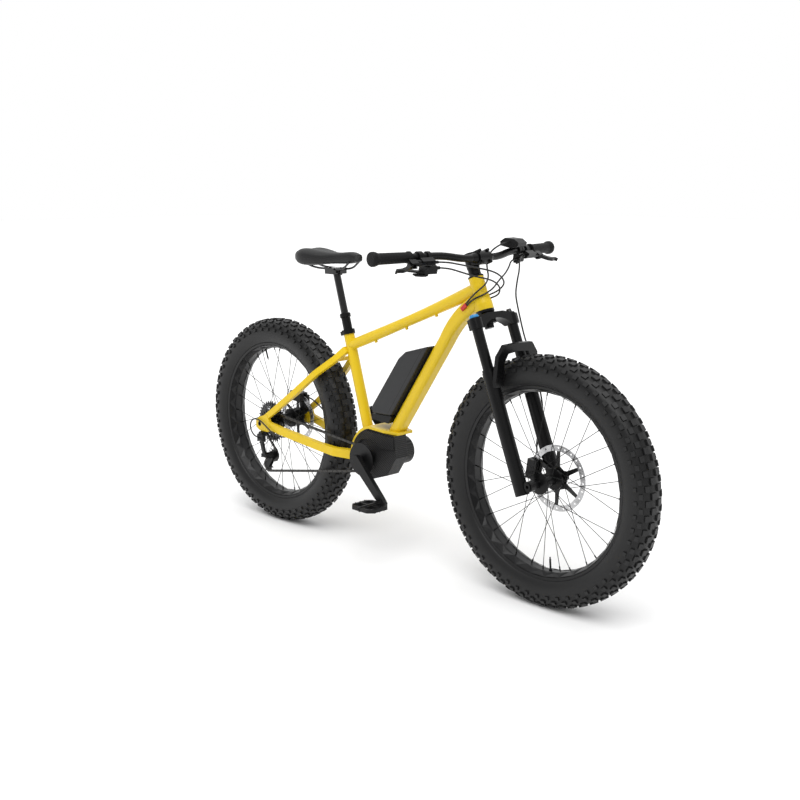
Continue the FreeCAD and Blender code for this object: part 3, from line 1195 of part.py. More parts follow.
def rotor(name, diameter, bore, axle, side):
    """A brake disc: a drilled band on six arms, with its bolts."""
    body = doc.addObject("PartDesign::Body", name + "_body")
    sketch = body.newObject("Sketcher::SketchObject", name + "_rings")
    support = [face for face in body.Origin.OriginFeatures if face.Role == "XZ_Plane"][0]
    sketch.AttachmentSupport = (support, [""])
    sketch.MapMode = "FlatFace"
    for index, text in enumerate(("dim.%s / 2" % diameter, bore)):
        sketch.addGeometry(Part.Circle(Vector(), Vector(0, 0, 1), amount_of(text)))
        sketch.addConstraint(Sketcher.Constraint("Coincident", index, 3, -1, 1))
        ring = sketch.addConstraint(Sketcher.Constraint("Radius", index, amount_of(text)))
        sketch.setExpression("Constraints[%d]" % ring, text)
    pad = body.newObject("PartDesign::Pad", name + "_disc")
    pad.Profile = sketch
    pad.setExpression("Length", "dim.rotor_thickness")
    pad.SideType = "Symmetric"
    doc.recompute()
    before = pad.Shape.Volume
    edge = "dim.%s / 2 - dim.rotor_track" % diameter
    window = [("33", "-10")]
    for across, above in ((0.885, -0.45), (0.967, -0.2), (1.0, 0.0), (0.967, 0.2), (0.895, 0.42)):
        window.append(("(%s) * %.3f" % (edge, across), "(%s) * %.3f" % (edge, above)))
    window.append(("36", "12"))
    patterned_cut(body, name + "_window", window, None, 6)
    last = patterned_cut(body, name + "_drill", None,
                         ("dim.%s / 2 - dim.rotor_track / 2" % diameter, "3"), 24)
    if last.Shape.Volume > before * 0.8:
        raise RuntimeError("the disc's windows were not cut")
    body.Placement = at(axle + ACROSS * size(side))
    bolts_round = []
    for number in range(6):
        outwards = size(side) + size("rotor_thickness") / 2
        spot = axle + turned_about(60 * number, Vector(19, 0, 0)) + ACROSS * outwards
        bolts_round.append(rod("%s_bolt_%d" % (name, number), "3.5", "2.2", spot, ACROSS))
    return group(name + "_group", [body] + bolts_round)


keep(rotor("front_disc", "front_rotor_diameter", "12", front_axle, "front_rotor_side"), "front_brake_rotor")
keep(rotor("rear_disc", "rear_rotor_diameter", "13", rear_axle, "rear_rotor_side"), "rear_brake_rotor")

# Rear axle tube, fixed in the dropouts.
rear_axle_rod = rod("rear_axle_rod", "dim.rear_axle_diameter / 2",
                    "dim.rear_hub_width + 2 * dim.dropout_thickness", rear_axle - ACROSS * drop_outer,
                    ACROSS)
rear_axle_hollow = rod("rear_axle_hollow", "dim.axle_bore / 2", "dim.rear_hub_width + 60",
                       rear_axle - ACROSS * (drop_outer + 10), ACROSS)
keep(cut("rear_axle_tube", rear_axle_rod, rear_axle_hollow), "rear_axle")

# Rear caliper over the disc, on an adapter plate against the inside of the left dropout.
REAR_CALIPER_ANGLE = 86
rear_reach = size("rear_rotor_diameter") / 2 - size("rotor_track") / 2
rear_frame = Placement(rear_axle + ACROSS * size("rear_rotor_side"), Rotation(ACROSS, -REAR_CALIPER_ANGLE))
rear_shell, rear_pads = caliper("rear_caliper", rear_frame, rear_reach)
ADAPTER = ((0, 18), (42, 34), (40, 84), (-34, 88), (-34, 72), (-8, 62))
adapter = extruded(polygon([Vector(x, 0, z) for x, z in ADAPTER]), ACROSS * 11)
adapter.translate(rear_axle + ACROSS * (drop_inner - 11))
doc.recompute()
left_stays = [right_seatstay.mirror(Vector(), ACROSS), right_chainstay.mirror(Vector(), ACROSS)]
rear_fit = shaped("rear_caliper_fit", rear_shell.Shape.fuse(adapter).cut(left_stays))
keep(group("rear_caliper_group", [rear_fit] + rear_pads), "rear_brake_caliper")

# Drive. A toothed wheel's outline, with a seat for a chain roller at its phase angle.


def pitch_radius(teeth):
    return teeth * size("chain_pitch") / (2 * math.pi)


def side_point(centre, radius, angle):
    """A point of the side view, by its angle from forwards towards up."""
    return Vector(centre.x + radius * math.cos(angle), 0, centre.z + radius * math.sin(angle))


def toothed(teeth, phase):
    teeth = int(teeth)
    radius = pitch_radius(teeth)
    seat_radius = size("roller_diameter") / 2 + 0.12
    tip_radius = radius + 0.27 * size("chain_pitch")
    tip_half = 0.09 * 2 * math.pi / teeth
    edges = []
    first = None
    last = None
    for number in range(teeth):
        angle = phase + 2 * math.pi * number / teeth
        middle = side_point(Vector(), radius, angle)
        low = middle + side_point(Vector(), seat_radius, angle + math.pi)
        enter = middle + side_point(Vector(), seat_radius, angle + math.radians(180 + 62))
        leave = middle + side_point(Vector(), seat_radius, angle + math.radians(180 - 62))
        half = math.pi / teeth
        tip_before = side_point(Vector(), tip_radius, angle - half + tip_half)
        tip_after = side_point(Vector(), tip_radius, angle + half - tip_half)
        if last is not None:
            edges.append(Part.LineSegment(last, tip_before).toShape())
        first = first or tip_before
        edges.append(Part.LineSegment(tip_before, enter).toShape())
        edges.append(Part.Arc(enter, low, leave).toShape())
        edges.append(Part.LineSegment(leave, tip_after).toShape())
        last = tip_after
    edges.append(Part.LineSegment(last, first).toShape())
    return Part.Wire(edges)


def cog(teeth, phase, bore, thickness):
    """A sprocket about the Y axis, centred on its own plane."""
    disc = extruded(toothed(teeth, phase), ACROSS * thickness)
    disc.translate(ACROSS * (-thickness / 2))
    return disc.cut(solid_cylinder(bore, ACROSS * -thickness, ACROSS * thickness))


COGS = (36, 32, 28, 24, 21, 19, 17, 15, 13, 11)
IN_USE = 21
chain_plane = ACROSS * -size("chain_side")
guide_centre = rear_axle + Vector(29, 0, -116)
cage_length = 54.6
ring_radius = pitch_radius(size("ring_teeth"))
cog_radius = pitch_radius(IN_USE)
pulley_radius = pitch_radius(size("pulley_teeth"))


def chain_route(cage_angle):
    """Arcs and straight runs of the chain, as it moves: cassette, chainring, lower pulley, upper pulley."""
    tension = side_point(guide_centre, cage_length, cage_angle)
    wheels = ((rear_axle, cog_radius, 1), (crank_axis, ring_radius, 1), (tension, pulley_radius, 1),
              (guide_centre, pulley_radius, -1))
    lefts = []
    for index, (centre, radius, hand) in enumerate(wheels):
        following, next_radius, next_hand = wheels[(index + 1) % 4]
        run = following - centre
        offset = math.acos((hand * radius - next_hand * next_radius) / math.hypot(run.x, run.z))
        lefts.append(math.atan2(run.z, run.x) + offset)
    pieces = []
    for index, (centre, radius, hand) in enumerate(wheels):
        enter = lefts[index - 1] if hand > 0 else lefts[index - 1] + math.pi
        leave = lefts[index] if hand > 0 else lefts[index] + math.pi
        sweep = (hand * (enter - leave)) % (2 * math.pi)
        pieces.append(("arc", centre, radius, enter, -hand * sweep))
        following, next_radius, next_hand = wheels[(index + 1) % 4]
        start = side_point(centre, radius, leave)
        end = side_point(following, next_radius, lefts[index] if next_hand > 0 else lefts[index] + math.pi)
        pieces.append(("run", start, end))
    total = sum(abs(piece[4]) * piece[2] if piece[0] == "arc" else piece[1].distanceToPoint(piece[2])
                for piece in pieces)
    return pieces, total, tension


# The cage angle takes up the slack, so that the chain is a whole number of links.
slack_low = math.radians(210)
slack_high = math.radians(275)
pitch = size("chain_pitch")
middle_length = chain_route(math.radians(241.6))[1]
link_pairs = round(middle_length / (2 * pitch))
target = 2 * link_pairs * pitch
rising = chain_route(slack_high)[1] > chain_route(slack_low)[1]
for step in range(60):
    cage_angle = (slack_low + slack_high) / 2
    if (chain_route(cage_angle)[1] < target) == rising:
        slack_low = cage_angle
    else:
        slack_high = cage_angle
route, route_length, tension_centre = chain_route(cage_angle)
print("chain: %d links, route %.2f, wanted %.2f" % (2 * link_pairs, route_length, target))


def route_point(distance):
    for piece in route:
        if piece[0] == "arc":
            span = abs(piece[4]) * piece[2]
            if distance <= span:
                return side_point(piece[1], piece[2], piece[3] + piece[4] * distance / span)
        else:
            span = piece[1].distanceToPoint(piece[2])
            if distance <= span:
                return piece[1] + (piece[2] - piece[1]) * (distance / span)
        distance -= span
    return route_point(0)


def roller_phase(centre):
    """The angle of one roller that lies on a wheel's arc."""
    travelled = 0.0
    for piece in route:
        if piece[0] == "arc":
            span = abs(piece[4]) * piece[2]
            if piece[1].distanceToPoint(centre) < 1e-6:
                ahead = math.ceil(travelled / pitch) * pitch - travelled
                return piece[3] + piece[4] * ahead / span
        else:
            span = piece[1].distanceToPoint(piece[2])
        travelled += span
    return 0.0


def capsule(half_length, radius):
    """A plate outline with two round ends, in the side view."""
    a = Vector(-half_length, 0, radius)
    b = Vector(half_length, 0, radius)
    c = Vector(half_length, 0, -radius)
    d = Vector(-half_length, 0, -radius)
    edges = [Part.LineSegment(a, b), Part.Arc(b, Vector(half_length + radius, 0, 0), c),
             Part.LineSegment(c, d),
             Part.Arc(d, Vector(-half_length - radius, 0, 0), a)]
    return Part.Wire([edge.toShape() for edge in edges])


def slab(wire, low, high):
    """A side-view outline between two distances across the bike."""
    piece = extruded(wire, ACROSS * (high - low))
    piece.translate(ACROSS * low)
    return piece


# Chain links: inner links carry the rollers, outer links carry the pins.
half_gap = size("chain_gap") / 2
thin = size("plate_thickness")
plate_radius = size("plate_height") / 2
roller = size("roller_diameter") / 2
pin = 1.75
inner_edge = half_gap + thin
outer_edge = inner_edge + 0.1
pin_reach = outer_edge + thin + 0.05
plate_line = capsule(pitch / 2, plate_radius)
ends_of_link = [Vector(-pitch / 2, 0, 0), Vector(pitch / 2, 0, 0)]
inner_link = slab(plate_line, half_gap, inner_edge).fuse([slab(plate_line, -inner_edge, -half_gap)] + [
    solid_cylinder(roller, end - ACROSS * half_gap, end + ACROSS * half_gap) for end in ends_of_link])
inner_link = inner_link.cut([solid_cylinder(pin + 0.2, end - ACROSS * 5, end + ACROSS * 5)
                             for end in ends_of_link])
outer_link = slab(plate_line, outer_edge, outer_edge + thin).fuse(
    [slab(plate_line, -outer_edge - thin, -outer_edge)] + [
        solid_cylinder(pin, end - ACROSS * pin_reach, end + ACROSS * pin_reach)
        for end in ends_of_link])
links = []
for number in range(2 * link_pairs):
    before = route_point(number * pitch)
    after = route_point((number + 1) * pitch % route_length)
    turn = Rotation(Vector(1, 0, 0), after - before)
    link = (inner_link if number % 2 else outer_link).copy()
    link.Placement = Placement((before + after) * 0.5 + chain_plane, turn)
    links.append(link)
keep(shaped("chain_links", Part.makeCompound(links)), "chain")

# Cassette: sprockets on their driver, with a lock ring.
driver_radius = size("driver_diameter") / 2
thick = size("cog_thickness")
used = COGS.index(IN_USE)
first_side = size("chain_side") - used * size("cog_spacing")
cassette_inner = size("rear_flange_spacing") / 2 + 7 + size("move_gap")
cassette_outer = first_side + (len(COGS) - 1) * size("cog_spacing") + 3
driver = rod("driver_tube", "dim.driver_diameter / 2", "%.3f" % (cassette_outer - cassette_inner),
             rear_axle - ACROSS * cassette_outer, ACROSS)
driver_bore = rod("driver_bore", "dim.rear_axle_diameter / 2 + dim.run_gap", "200",
                  rear_axle - ACROSS * 150, ACROSS)
cassette_parts = [cut("driver_piece", driver, driver_bore)]
for number, teeth in enumerate(COGS):
    phase = roller_phase(rear_axle) if teeth == IN_USE else 0.0
    piece = cog(teeth, phase, driver_radius - 3 if teeth < 12 else driver_radius, thick)
    if teeth < 12:
        piece = piece.cut(solid_cylinder(driver_radius, ACROSS * -9, ACROSS * 9))
    if teeth > 21:
        window_reach = (pitch_radius(teeth) + driver_radius) / 2
        window_size = min((pitch_radius(teeth) - driver_radius) / 2 - 6,
                          window_reach * math.sin(math.pi / 7) - 3)
        piece = piece.cut([solid_cylinder(window_size, point - ACROSS * 9, point + ACROSS * 9)
                           for point in [
            turned_about(360 / 7 * k, Vector(window_reach, 0, 0)) for k in range(7)]])
    spot = rear_axle - ACROSS * (first_side + number * size("cog_spacing"))
    cassette_parts.append(shaped("cog_%d" % teeth, piece, at(spot)))
keep(group("cassette_group", cassette_parts), "cassette")

# Chainring with its guard, on a sleeve that turns on the crank spindle.
ring_plate = cog(size("ring_teeth"), roller_phase(crank_axis), 15, 2.0)
ring_piece = shaped("ring_plate", ring_plate, at(crank_axis + chain_plane))
guard_side = size("chain_side") + 6
sleeve_start = size("motor_right") + size("move_gap")
sleeve = rod("ring_sleeve", "20", "%.3f" % (guard_side + 2 - sleeve_start),
             crank_axis - ACROSS * (guard_side + 2), ACROSS)
guard = rod("ring_guard", "dim.guard_diameter / 2", "2", crank_axis - ACROSS * (guard_side + 2), ACROSS)
ring_bore = rod("ring_bore", "dim.spindle_diameter / 2 + dim.run_gap", "60",
                crank_axis - ACROSS * (guard_side + 20), ACROSS)
keep(cut("ring_whole", fuse("ring_parts", [ring_piece, sleeve, guard]), ring_bore), "chainring")

# Crank arms, spindle and pedal axles.
half_thick = size("crank_thickness") / 2
arm_outer = size("crank_inner") + size("crank_thickness")
ARM = (("-17", "-9"), ("-9", "-18"), ("12", "-18"), ("dim.crank_length - 10", "-13"),
       ("dim.crank_length + 10", "-10"),
       ("dim.crank_length + 15", "0"), ("dim.crank_length + 10", "10"), ("dim.crank_length - 10", "13"),
       ("12", "18"),
       ("-9", "18"), ("-17", "9"))


def crank_arm(name, hand, angle):
    """An arm on one side with the pedal axle in its end."""
    turn = Rotation(ACROSS, angle)
    body = padded(name + "_arm", ARM, "dim.crank_thickness")
    body.Placement = Placement(crank_axis + ACROSS * (hand * (size("crank_inner") + half_thick)), turn)
    hole = rod(name + "_hole", "dim.spindle_diameter / 2", "300", crank_axis - ACROSS * 150, ACROSS)
    pedal_axis = crank_axis + turn.multVec(Vector(size("crank_length"), 0, 0))
    outwards = ACROSS * hand
    axle_root = pedal_axis + outwards * arm_outer
    axle = rod(name + "_axle", "dim.pedal_axle_diameter / 2", "dim.pedal_width + 2", axle_root, outwards)
    ring = rod(name + "_shoulder", "9", "3", axle_root, outwards)
    return [cut(name + "_arm_piece", body, hole), fuse(name + "_axle_piece", [axle, ring])], axle_root


spindle = rod("spindle", "dim.spindle_diameter / 2", "%.3f" % (2 * arm_outer),
              crank_axis - ACROSS * arm_outer, ACROSS)
right_parts, right_root = crank_arm("right_crank", -1, size("crank_angle"))
left_parts, left_root = crank_arm("left_crank", 1, size("crank_angle") + 180)
keep(group("crank_group", right_parts + left_parts + [spindle]), "crank_set")

# Platform pedals: an open frame round a bored barrel, with grip pins on both faces.
PEDAL = (("-dim.pedal_length / 2", "-dim.pedal_width / 2 + 16"),
         ("16 - dim.pedal_length / 2", "-dim.pedal_width / 2"),
         ("dim.pedal_length / 2 - 16", "-dim.pedal_width / 2"),
         ("dim.pedal_length / 2", "16 - dim.pedal_width / 2"),
         ("dim.pedal_length / 2", "dim.pedal_width / 2 - 16"),
         ("dim.pedal_length / 2 - 16", "dim.pedal_width / 2"),
         ("16 - dim.pedal_length / 2", "dim.pedal_width / 2"),
         ("-dim.pedal_length / 2", "dim.pedal_width / 2 - 16"))


def pedal(name, root, hand):
    middle = root + ACROSS * (hand * (4 + size("pedal_width") / 2))
    half_length = size("pedal_length") / 2
    half_width = size("pedal_width") / 2
    plate_body = padded(name + "_plate", PEDAL, "dim.pedal_thickness - 4", "XY_Plane")
    plate_body.Placement = at(middle)
    windows = [block("%s_window_%d_%d" % (name, a + 1, b),
                     ("dim.pedal_length / 2 - 21", "dim.pedal_width / 2 - 13", "40"),
                     middle + Vector(11 if a > 0 else 10 - half_length,
                                     b * (half_width - 8) - half_width + 9, -20))
               for a in (-1, 1) for b in (0, 1)]
    barrel = rod(name + "_barrel", "dim.pedal_thickness / 2", "dim.pedal_width",
                 middle - ACROSS * half_width, ACROSS)
    pins = []
    for a in (-1, 1):
        for b in (-1, 0, 1):
            spot = middle + Vector(a * (half_length - 5), b * 20, -size("pedal_thickness") / 2 - 1)
            pins.append(rod("%s_pin_%d_%d" % (name, a + 1, b + 1), "1.6", "dim.pedal_thickness + 2", spot,
                            UP))
    hole = rod(name + "_bore", "dim.pedal_axle_diameter / 2 + dim.run_gap", "200", middle - ACROSS * 100,
               ACROSS)
    frame_piece = cut(name + "_frame", plate_body, fuse(name + "_windows", windows))
    return cut(name + "_whole", fuse(name + "_parts", [frame_piece, barrel] + pins), hole)


keep(pedal("right_pedal_piece", right_root, -1), "right_pedal")
keep(pedal("left_pedal_piece", left_root, 1), "left_pedal")


# Motor under the cradle: housing, drum, left boss and a cover plate, about the crank axis.
motor_line = cradle_line(-size("fit_gap"))
MOTOR_UNDER = ((140, 22), (98, -42), (34, -64), (-20, -58), (-55, -42))
motor_marks = [motor_line[4]] + [Vector(x, 0, z) for x, z in MOTOR_UNDER] + [motor_line[0]]
motor_edges = [Part.LineSegment(motor_line[0], motor_line[1]), Part.Arc(*motor_line[1:4]),
               Part.LineSegment(motor_line[3], motor_line[4])]
motor_edges += [Part.LineSegment(a, b) for a, b in zip(motor_marks, motor_marks[1:])]
motor_wire = Part.Wire([edge.toShape() for edge in motor_edges])
MOTOR_MIDDLE = 4
motor_body = slab(motor_wire, -size("motor_right"), MOTOR_MIDDLE)
drum_centre = Vector(82, 0, 30)
left_face = ACROSS * size("motor_left")
drum = solid_cylinder(46, drum_centre, drum_centre + left_face)
left_boss = solid_cylinder(52, Vector(), left_face)
face_ring = solid_cylinder(34, ACROSS * (-size("motor_right")), ACROSS * (3 - size("motor_right")))
ring_groove = face_ring.cut(solid_cylinder(29, ACROSS * -80, ACROSS))
spindle_room = solid_cylinder(size("spindle_diameter") / 2 + size("run_gap"), ACROSS * -90, ACROSS * 90)
motor_solid = motor_body.fuse([drum, left_boss]).cut([ring_groove, spindle_room])
COVER = ((-64, 10), (-58, 40), (-40, 66), (6, 96), (131, 90), (134, 52), (70, 44), (52, 62), (20, 70),
         (-20, 62),
         (-48, 34))
cover_low = -size("motor_right") - size("cover_thickness")
cover = slab(polygon([Vector(x, 0, z) for x, z in COVER]), cover_low, -size("motor_right"))
motor_piece = shaped("motor_body", motor_solid, at(crank_axis))
cover_piece = shaped("motor_cover", cover, at(crank_axis))
keep(group("motor_group", [motor_piece, cover_piece]), "motor_housing")

# Battery on the back of the down tube; its rail and its dock are fixed to the tube.
half_down = size("down_depth") / 2
rail_face = -half_down - size("rail_thickness")
battery_face = rail_face - size("fit_gap")
BATTERY_FOOT = (-95, -6)
BATTERY = ((battery_face, 45), BATTERY_FOOT, (-108, 12), (-103, 226), (-92, 262), (battery_face, 342))
DOCK_DROP = 1.5
dock_shift = Vector(0.585, 0, -0.811) * DOCK_DROP
half_battery = size("battery_width") / 2
half_dock = half_battery - 4


def down_slab(corners, half_width):
    """A side-view outline of the down tube's frame, even about the middle of the bike."""
    return slab(polygon([Vector(x, 0, z) for x, z in corners]), -half_width, half_width)


keep(shaped("battery_case", down_slab(BATTERY, half_battery), down), "battery")
dock_top = [Vector(battery_face, 0, 45) + dock_shift,
            Vector(BATTERY_FOOT[0], 0, BATTERY_FOOT[1]) + dock_shift]
DOCK = ((-half_down, 40), (dock_top[0].x, dock_top[0].z), (dock_top[1].x, dock_top[1].z), (-85, -24),
        (-half_down, 15))
RAIL = ((-half_down, 30), (rail_face, 30), (rail_face, 330), (-half_down, 330))
dock_solid = down_slab(DOCK, half_dock).fuse(down_slab(RAIL, 18)).removeSplitter()
keep(shaped("dock_piece", dock_solid, down), "battery_dock")

# Derailleur. The mount hangs from the right dropout and carries the link's upper pin.
dropout_foot = rear_axle.z - 24
mount_pin = Vector(rear_axle.x + 16, -113, rear_axle.z - 54)
knuckle_pin = Vector(guide_centre.x - 2, -107, guide_centre.z + 2)
pin_radius = 3.0
pin_hole = pin_radius + size("run_gap")
upper_half = 11.0
lower_half = 10.0
ear = 4.0
side_gap = size("move_gap")


def box(low, high):
    return Part.makeBox(high.x - low.x, high.y - low.y, high.z - low.z, low)


def clevis(centre, half, low, high):
    """Two ears on both sides of an eye, with the pin through them."""
    ears = []
    for start in (centre.x - half - side_gap - ear, centre.x + half + side_gap):
        ears.append(box(Vector(start, low.y, low.z), Vector(start + ear, high.y, high.z)))
    reach = half + side_gap + ear
    return ears + [solid_cylinder(pin_radius, centre - ALONG_X * reach, centre + ALONG_X * reach)]


upper_reach = upper_half + side_gap + ear
b_level = dropout_foot - 10
b_knuckle = solid_cylinder(10, Vector(mount_pin.x, -118, b_level),
                           Vector(mount_pin.x, -drop_inner, b_level))
hanger = box(Vector(mount_pin.x - 10, -drop_outer, rear_axle.z - 38),
             Vector(mount_pin.x + 10, -drop_inner, dropout_foot))
bridge_low = Vector(mount_pin.x - upper_reach, -120, mount_pin.z + 9)
bridge_block = box(bridge_low, Vector(mount_pin.x + upper_reach, -105, mount_pin.z + 19))
upper_clevis = clevis(mount_pin, upper_half, Vector(0, -120, mount_pin.z - 8),
                      Vector(0, -105, mount_pin.z + 14))
above_foot = box(Vector(rear_axle.x - 60, -drop_outer, dropout_foot),
                 Vector(rear_axle.x + 90, -drop_inner, dropout_foot + 60))
mount_solid = b_knuckle.fuse([hanger, bridge_block] + upper_clevis).cut(above_foot).removeSplitter()
keep(shaped("mount_piece", mount_solid), "derailleur_mount")

# Link between the mount and the knuckle, with a bored eye at each end.
upper_eye = solid_cylinder(8, mount_pin - ALONG_X * upper_half, mount_pin + ALONG_X * upper_half)
lower_eye = solid_cylinder(7, knuckle_pin - ALONG_X * lower_half, knuckle_pin + ALONG_X * lower_half)
link_run = mount_pin - knuckle_pin
link_sections = []
for centre, half in ((knuckle_pin + link_run * 0.06, lower_half - 3),
                     (mount_pin - link_run * 0.06, upper_half - 3)):
    link_sections.append(polygon([centre + Vector(half * a, 4.5 * b, 0) for a,
                                  b in ((-1, -1), (1, -1), (1, 1), (-1, 1))]))
link_bar = Part.makeLoft(link_sections, True, True)
link_holes = [solid_cylinder(pin_hole, pin_at - ALONG_X * 30, pin_at + ALONG_X * 30)
              for pin_at in (mount_pin, knuckle_pin)]
keep(shaped("link_piece", upper_eye.fuse([lower_eye, link_bar]).cut(link_holes)), "derailleur_link")

# Knuckle: the lower clevis, a round body and the pin that carries the cage and the upper pulley.
plate_gap = 4.7
cage_plate = 2.0
chain_side = size("chain_side")
cage_outer = chain_side + plate_gap + cage_plate
cage_inner = chain_side - plate_gap - cage_plate
knuckle_face = cage_outer + side_gap
knuckle_back = 98
cage_pin = 4.0
guide_at = Vector(guide_centre.x, 0, guide_centre.z)
knuckle_body = solid_cylinder(13, guide_at - ACROSS * knuckle_back, guide_at - ACROSS * knuckle_face)
cage_axle = solid_cylinder(cage_pin, guide_at - ACROSS * knuckle_back,
                           guide_at - ACROSS * (cage_inner - side_gap))
axle_end = solid_cylinder(6, guide_at - ACROSS * (cage_inner - side_gap),
                          guide_at - ACROSS * (cage_inner - side_gap - 1.6))
lower_reach = lower_half + side_gap + ear
knuckle_bridge = box(Vector(knuckle_pin.x - lower_reach, -knuckle_back, knuckle_pin.z - 10),
                     Vector(knuckle_pin.x + lower_reach, 6 - knuckle_back, knuckle_pin.z + 8))
lower_clevis = clevis(knuckle_pin, lower_half, Vector(0, -113, knuckle_pin.z - 7),
                      Vector(0, 5 - knuckle_back, knuckle_pin.z + 7))
knuckle_solid = knuckle_body.fuse([cage_axle, axle_end, knuckle_bridge] + lower_clevis).removeSplitter()
keep(shaped("knuckle_piece", knuckle_solid), "derailleur_knuckle")

# Cage: two plates joined by the lower pulley's pin, bored for the knuckle's pin.
tension_at = Vector(tension_centre.x, 0, tension_centre.z)
cage_run = tension_at - guide_at
cage_middle = Placement((guide_at + tension_at) * 0.5, Rotation(ALONG_X, cage_run))
tension_pin = 2.5
cage_parts = []
for low_side in (-cage_outer, -cage_inner - cage_plate):
    side_plate = slab(capsule(cage_length / 2, 9), low_side, low_side + cage_plate)
    side_plate.Placement = cage_middle.multiply(side_plate.Placement)
    cage_parts.append(side_plate)
cage_parts.append(solid_cylinder(tension_pin, tension_at - ACROSS * cage_outer,
                                 tension_at - ACROSS * cage_inner))
cage_hole = solid_cylinder(cage_pin + size("run_gap"), guide_at - ACROSS * 120, guide_at)
cage_solid = cage_parts[0].fuse(cage_parts[1:]).cut(cage_hole)
keep(shaped("cage_piece", cage_solid), "derailleur_cage")


def pulley(name, centre, bore):
    """A toothed pulley with a hub that spaces it between the cage plates."""
    half_hub = plate_gap - side_gap
    teeth = int(size("pulley_teeth"))
    wheel = cog(teeth, roller_phase(centre), bore, size("cog_thickness"))
    hub = solid_cylinder(8, ACROSS * -half_hub,
                         ACROSS * half_hub).cut(solid_cylinder(bore, ACROSS * -9, ACROSS * 9))
    place = at(Vector(centre.x, -chain_side, centre.z))
    return shaped(name, wheel.fuse(hub).removeSplitter(), place)


keep(pulley("upper_pulley", guide_centre, cage_pin + size("run_gap")), "guide_pulley")
keep(pulley("lower_pulley", tension_centre, tension_pin + size("run_gap")), "tension_pulley")

# Cables and hoses follow smooth lines, cut into short straight runs of one length.
RUN = 40.0


def routed(name, marks, run=RUN):
    curve = Part.BSplineCurve()
    curve.interpolate(marks)
    total = curve.length()
    count = max(4, round(total / run))
    end_share = 0.88
    step = total / (count - 2 + 2 * end_share)
    stops = [0.0] + [step * (end_share + index) for index in range(count - 1)] + [total]
    points = [curve.value(curve.parameterAtDistance(stop, curve.FirstParameter)) for stop in stops[:-1]]
    return hose(name, points + [marks[-1]])


def left_of(point):
    return Vector(point.x, -point.y, point.z)


# Ports on both sides of the down tube's head, where the cables go in.
PORT_TILT = 43
port_long = 24.0
port_tall = 12.0
port_rise = 3.2
cable_row = 3.2
port_centre = Vector(down_tip.x - 45.6, -size("down_width") / 2 - port_rise, down_tip.z - 22.9)
port_place = Placement(port_centre, Rotation(ACROSS, -PORT_TILT))
port_box = Part.makeBox(port_long, 2 * port_rise + 3, port_tall,
                        Vector(-port_long / 2, -port_rise, -port_tall / 2))
port_box.Placement = port_place
right_port = port_box.cut(down_solid)
right_port = max(right_port.Solids, key=lambda piece: piece.Volume)


def port_mark(ahead, row, out=0.0):
    """A point in front of the right port, ahead of its mouth."""
    return port_place.multVec(Vector(port_long / 2 + 0.3 + ahead, -out, row))


def leaving(frame, x, y, z):
    """The start of a cable at a fitting: a point off its mouth, then one further along its axis."""
    return [frame.multVec(Vector(x, y, z - 0.8)), frame.multVec(Vector(x, y, z - 13))]


def entering(row, hand):
    """The end of a cable at a port's mouth, on the right (-1) or the left (1)."""
    marks = [port_mark(18, row), port_mark(0.5, row)]
    return marks if hand < 0 else [left_of(mark) for mark in marks]


def near_bar(x, y, z):
    """A point of a cable's loop, from the middle of the bar."""
    return bar_centre + Vector(x, y, z)


brake_start = leaving(brake_frame, 29, 0, -50)
shift_start = leaving(shift_frame, 16, -30, -40)
remote_start = [left_of(mark) for mark in leaving(remote_frame, 1, -26, -21)]
display_start = [left_of(mark) for mark in leaving(display_spot, 4, 30, DISPLAY_INNER)]
display_wire_solid = routed("display wire", display_start + [
    near_bar(-24.9, 66, 10.3), near_bar(-16.9, 44, -25.7), near_bar(9.1, 24, -52.7),
    near_bar(24.1, -6, -77.7), near_bar(11.1, -34, -99.7)] + entering(cable_row, -1), 34)
dropper_cable = routed("dropper cable", remote_start + [
    near_bar(15.1, 104, -43.7), near_bar(28.1, 50, -67.7), near_bar(32.1, 6, -97.7),
    near_bar(15.1, -36, -114.7)] + entering(-cable_row, -1))
rear_brake_hose = routed("rear brake hose", brake_start + [
    near_bar(55.1, -112, -17.7), near_bar(69.1, -50, -29.7), near_bar(69.1, 12, -51.7),
    near_bar(53.1, 46, -79.7),
    near_bar(19.1, 48, -103.7)] + entering(cable_row, 1))
shift_cable = routed("shift housing", shift_start + [
    near_bar(49.1, -100, -43.7), near_bar(61.1, -45, -55.7), near_bar(59.1, 10, -75.7),
    near_bar(43.1, 40, -103.7),
    near_bar(13.1, 42, -121.7)] + entering(-cable_row, 1))
leg_side = half_legs + size("leg_diameter") / 2 + 8
front_hose = routed("front brake hose", [left_of(mark) for mark in brake_start] + [
    near_bar(37.1, 134, -47.7), near_bar(35.1, 120, -93.7), near_bar(51.1, leg_side + 5, -155.7),
    on_steering(30, leg_side, 440), on_steering(34, leg_side, 360), on_steering(34, leg_side, 280),
    on_steering(26, leg_side, 215), on_steering(4, leg_side - 7, 160), on_steering(-10, leg_side - 24, 130),
    on_steering(-5, 71, 108)]
    + list(reversed(leaving(front_caliper_frame, caliper_reach, 10, -39.4))))
cables = [display_wire_solid, dropper_cable, rear_brake_hose, shift_cable, front_hose]
keep(shaped("cable_set", Part.makeCompound(cables)), "control_cables")

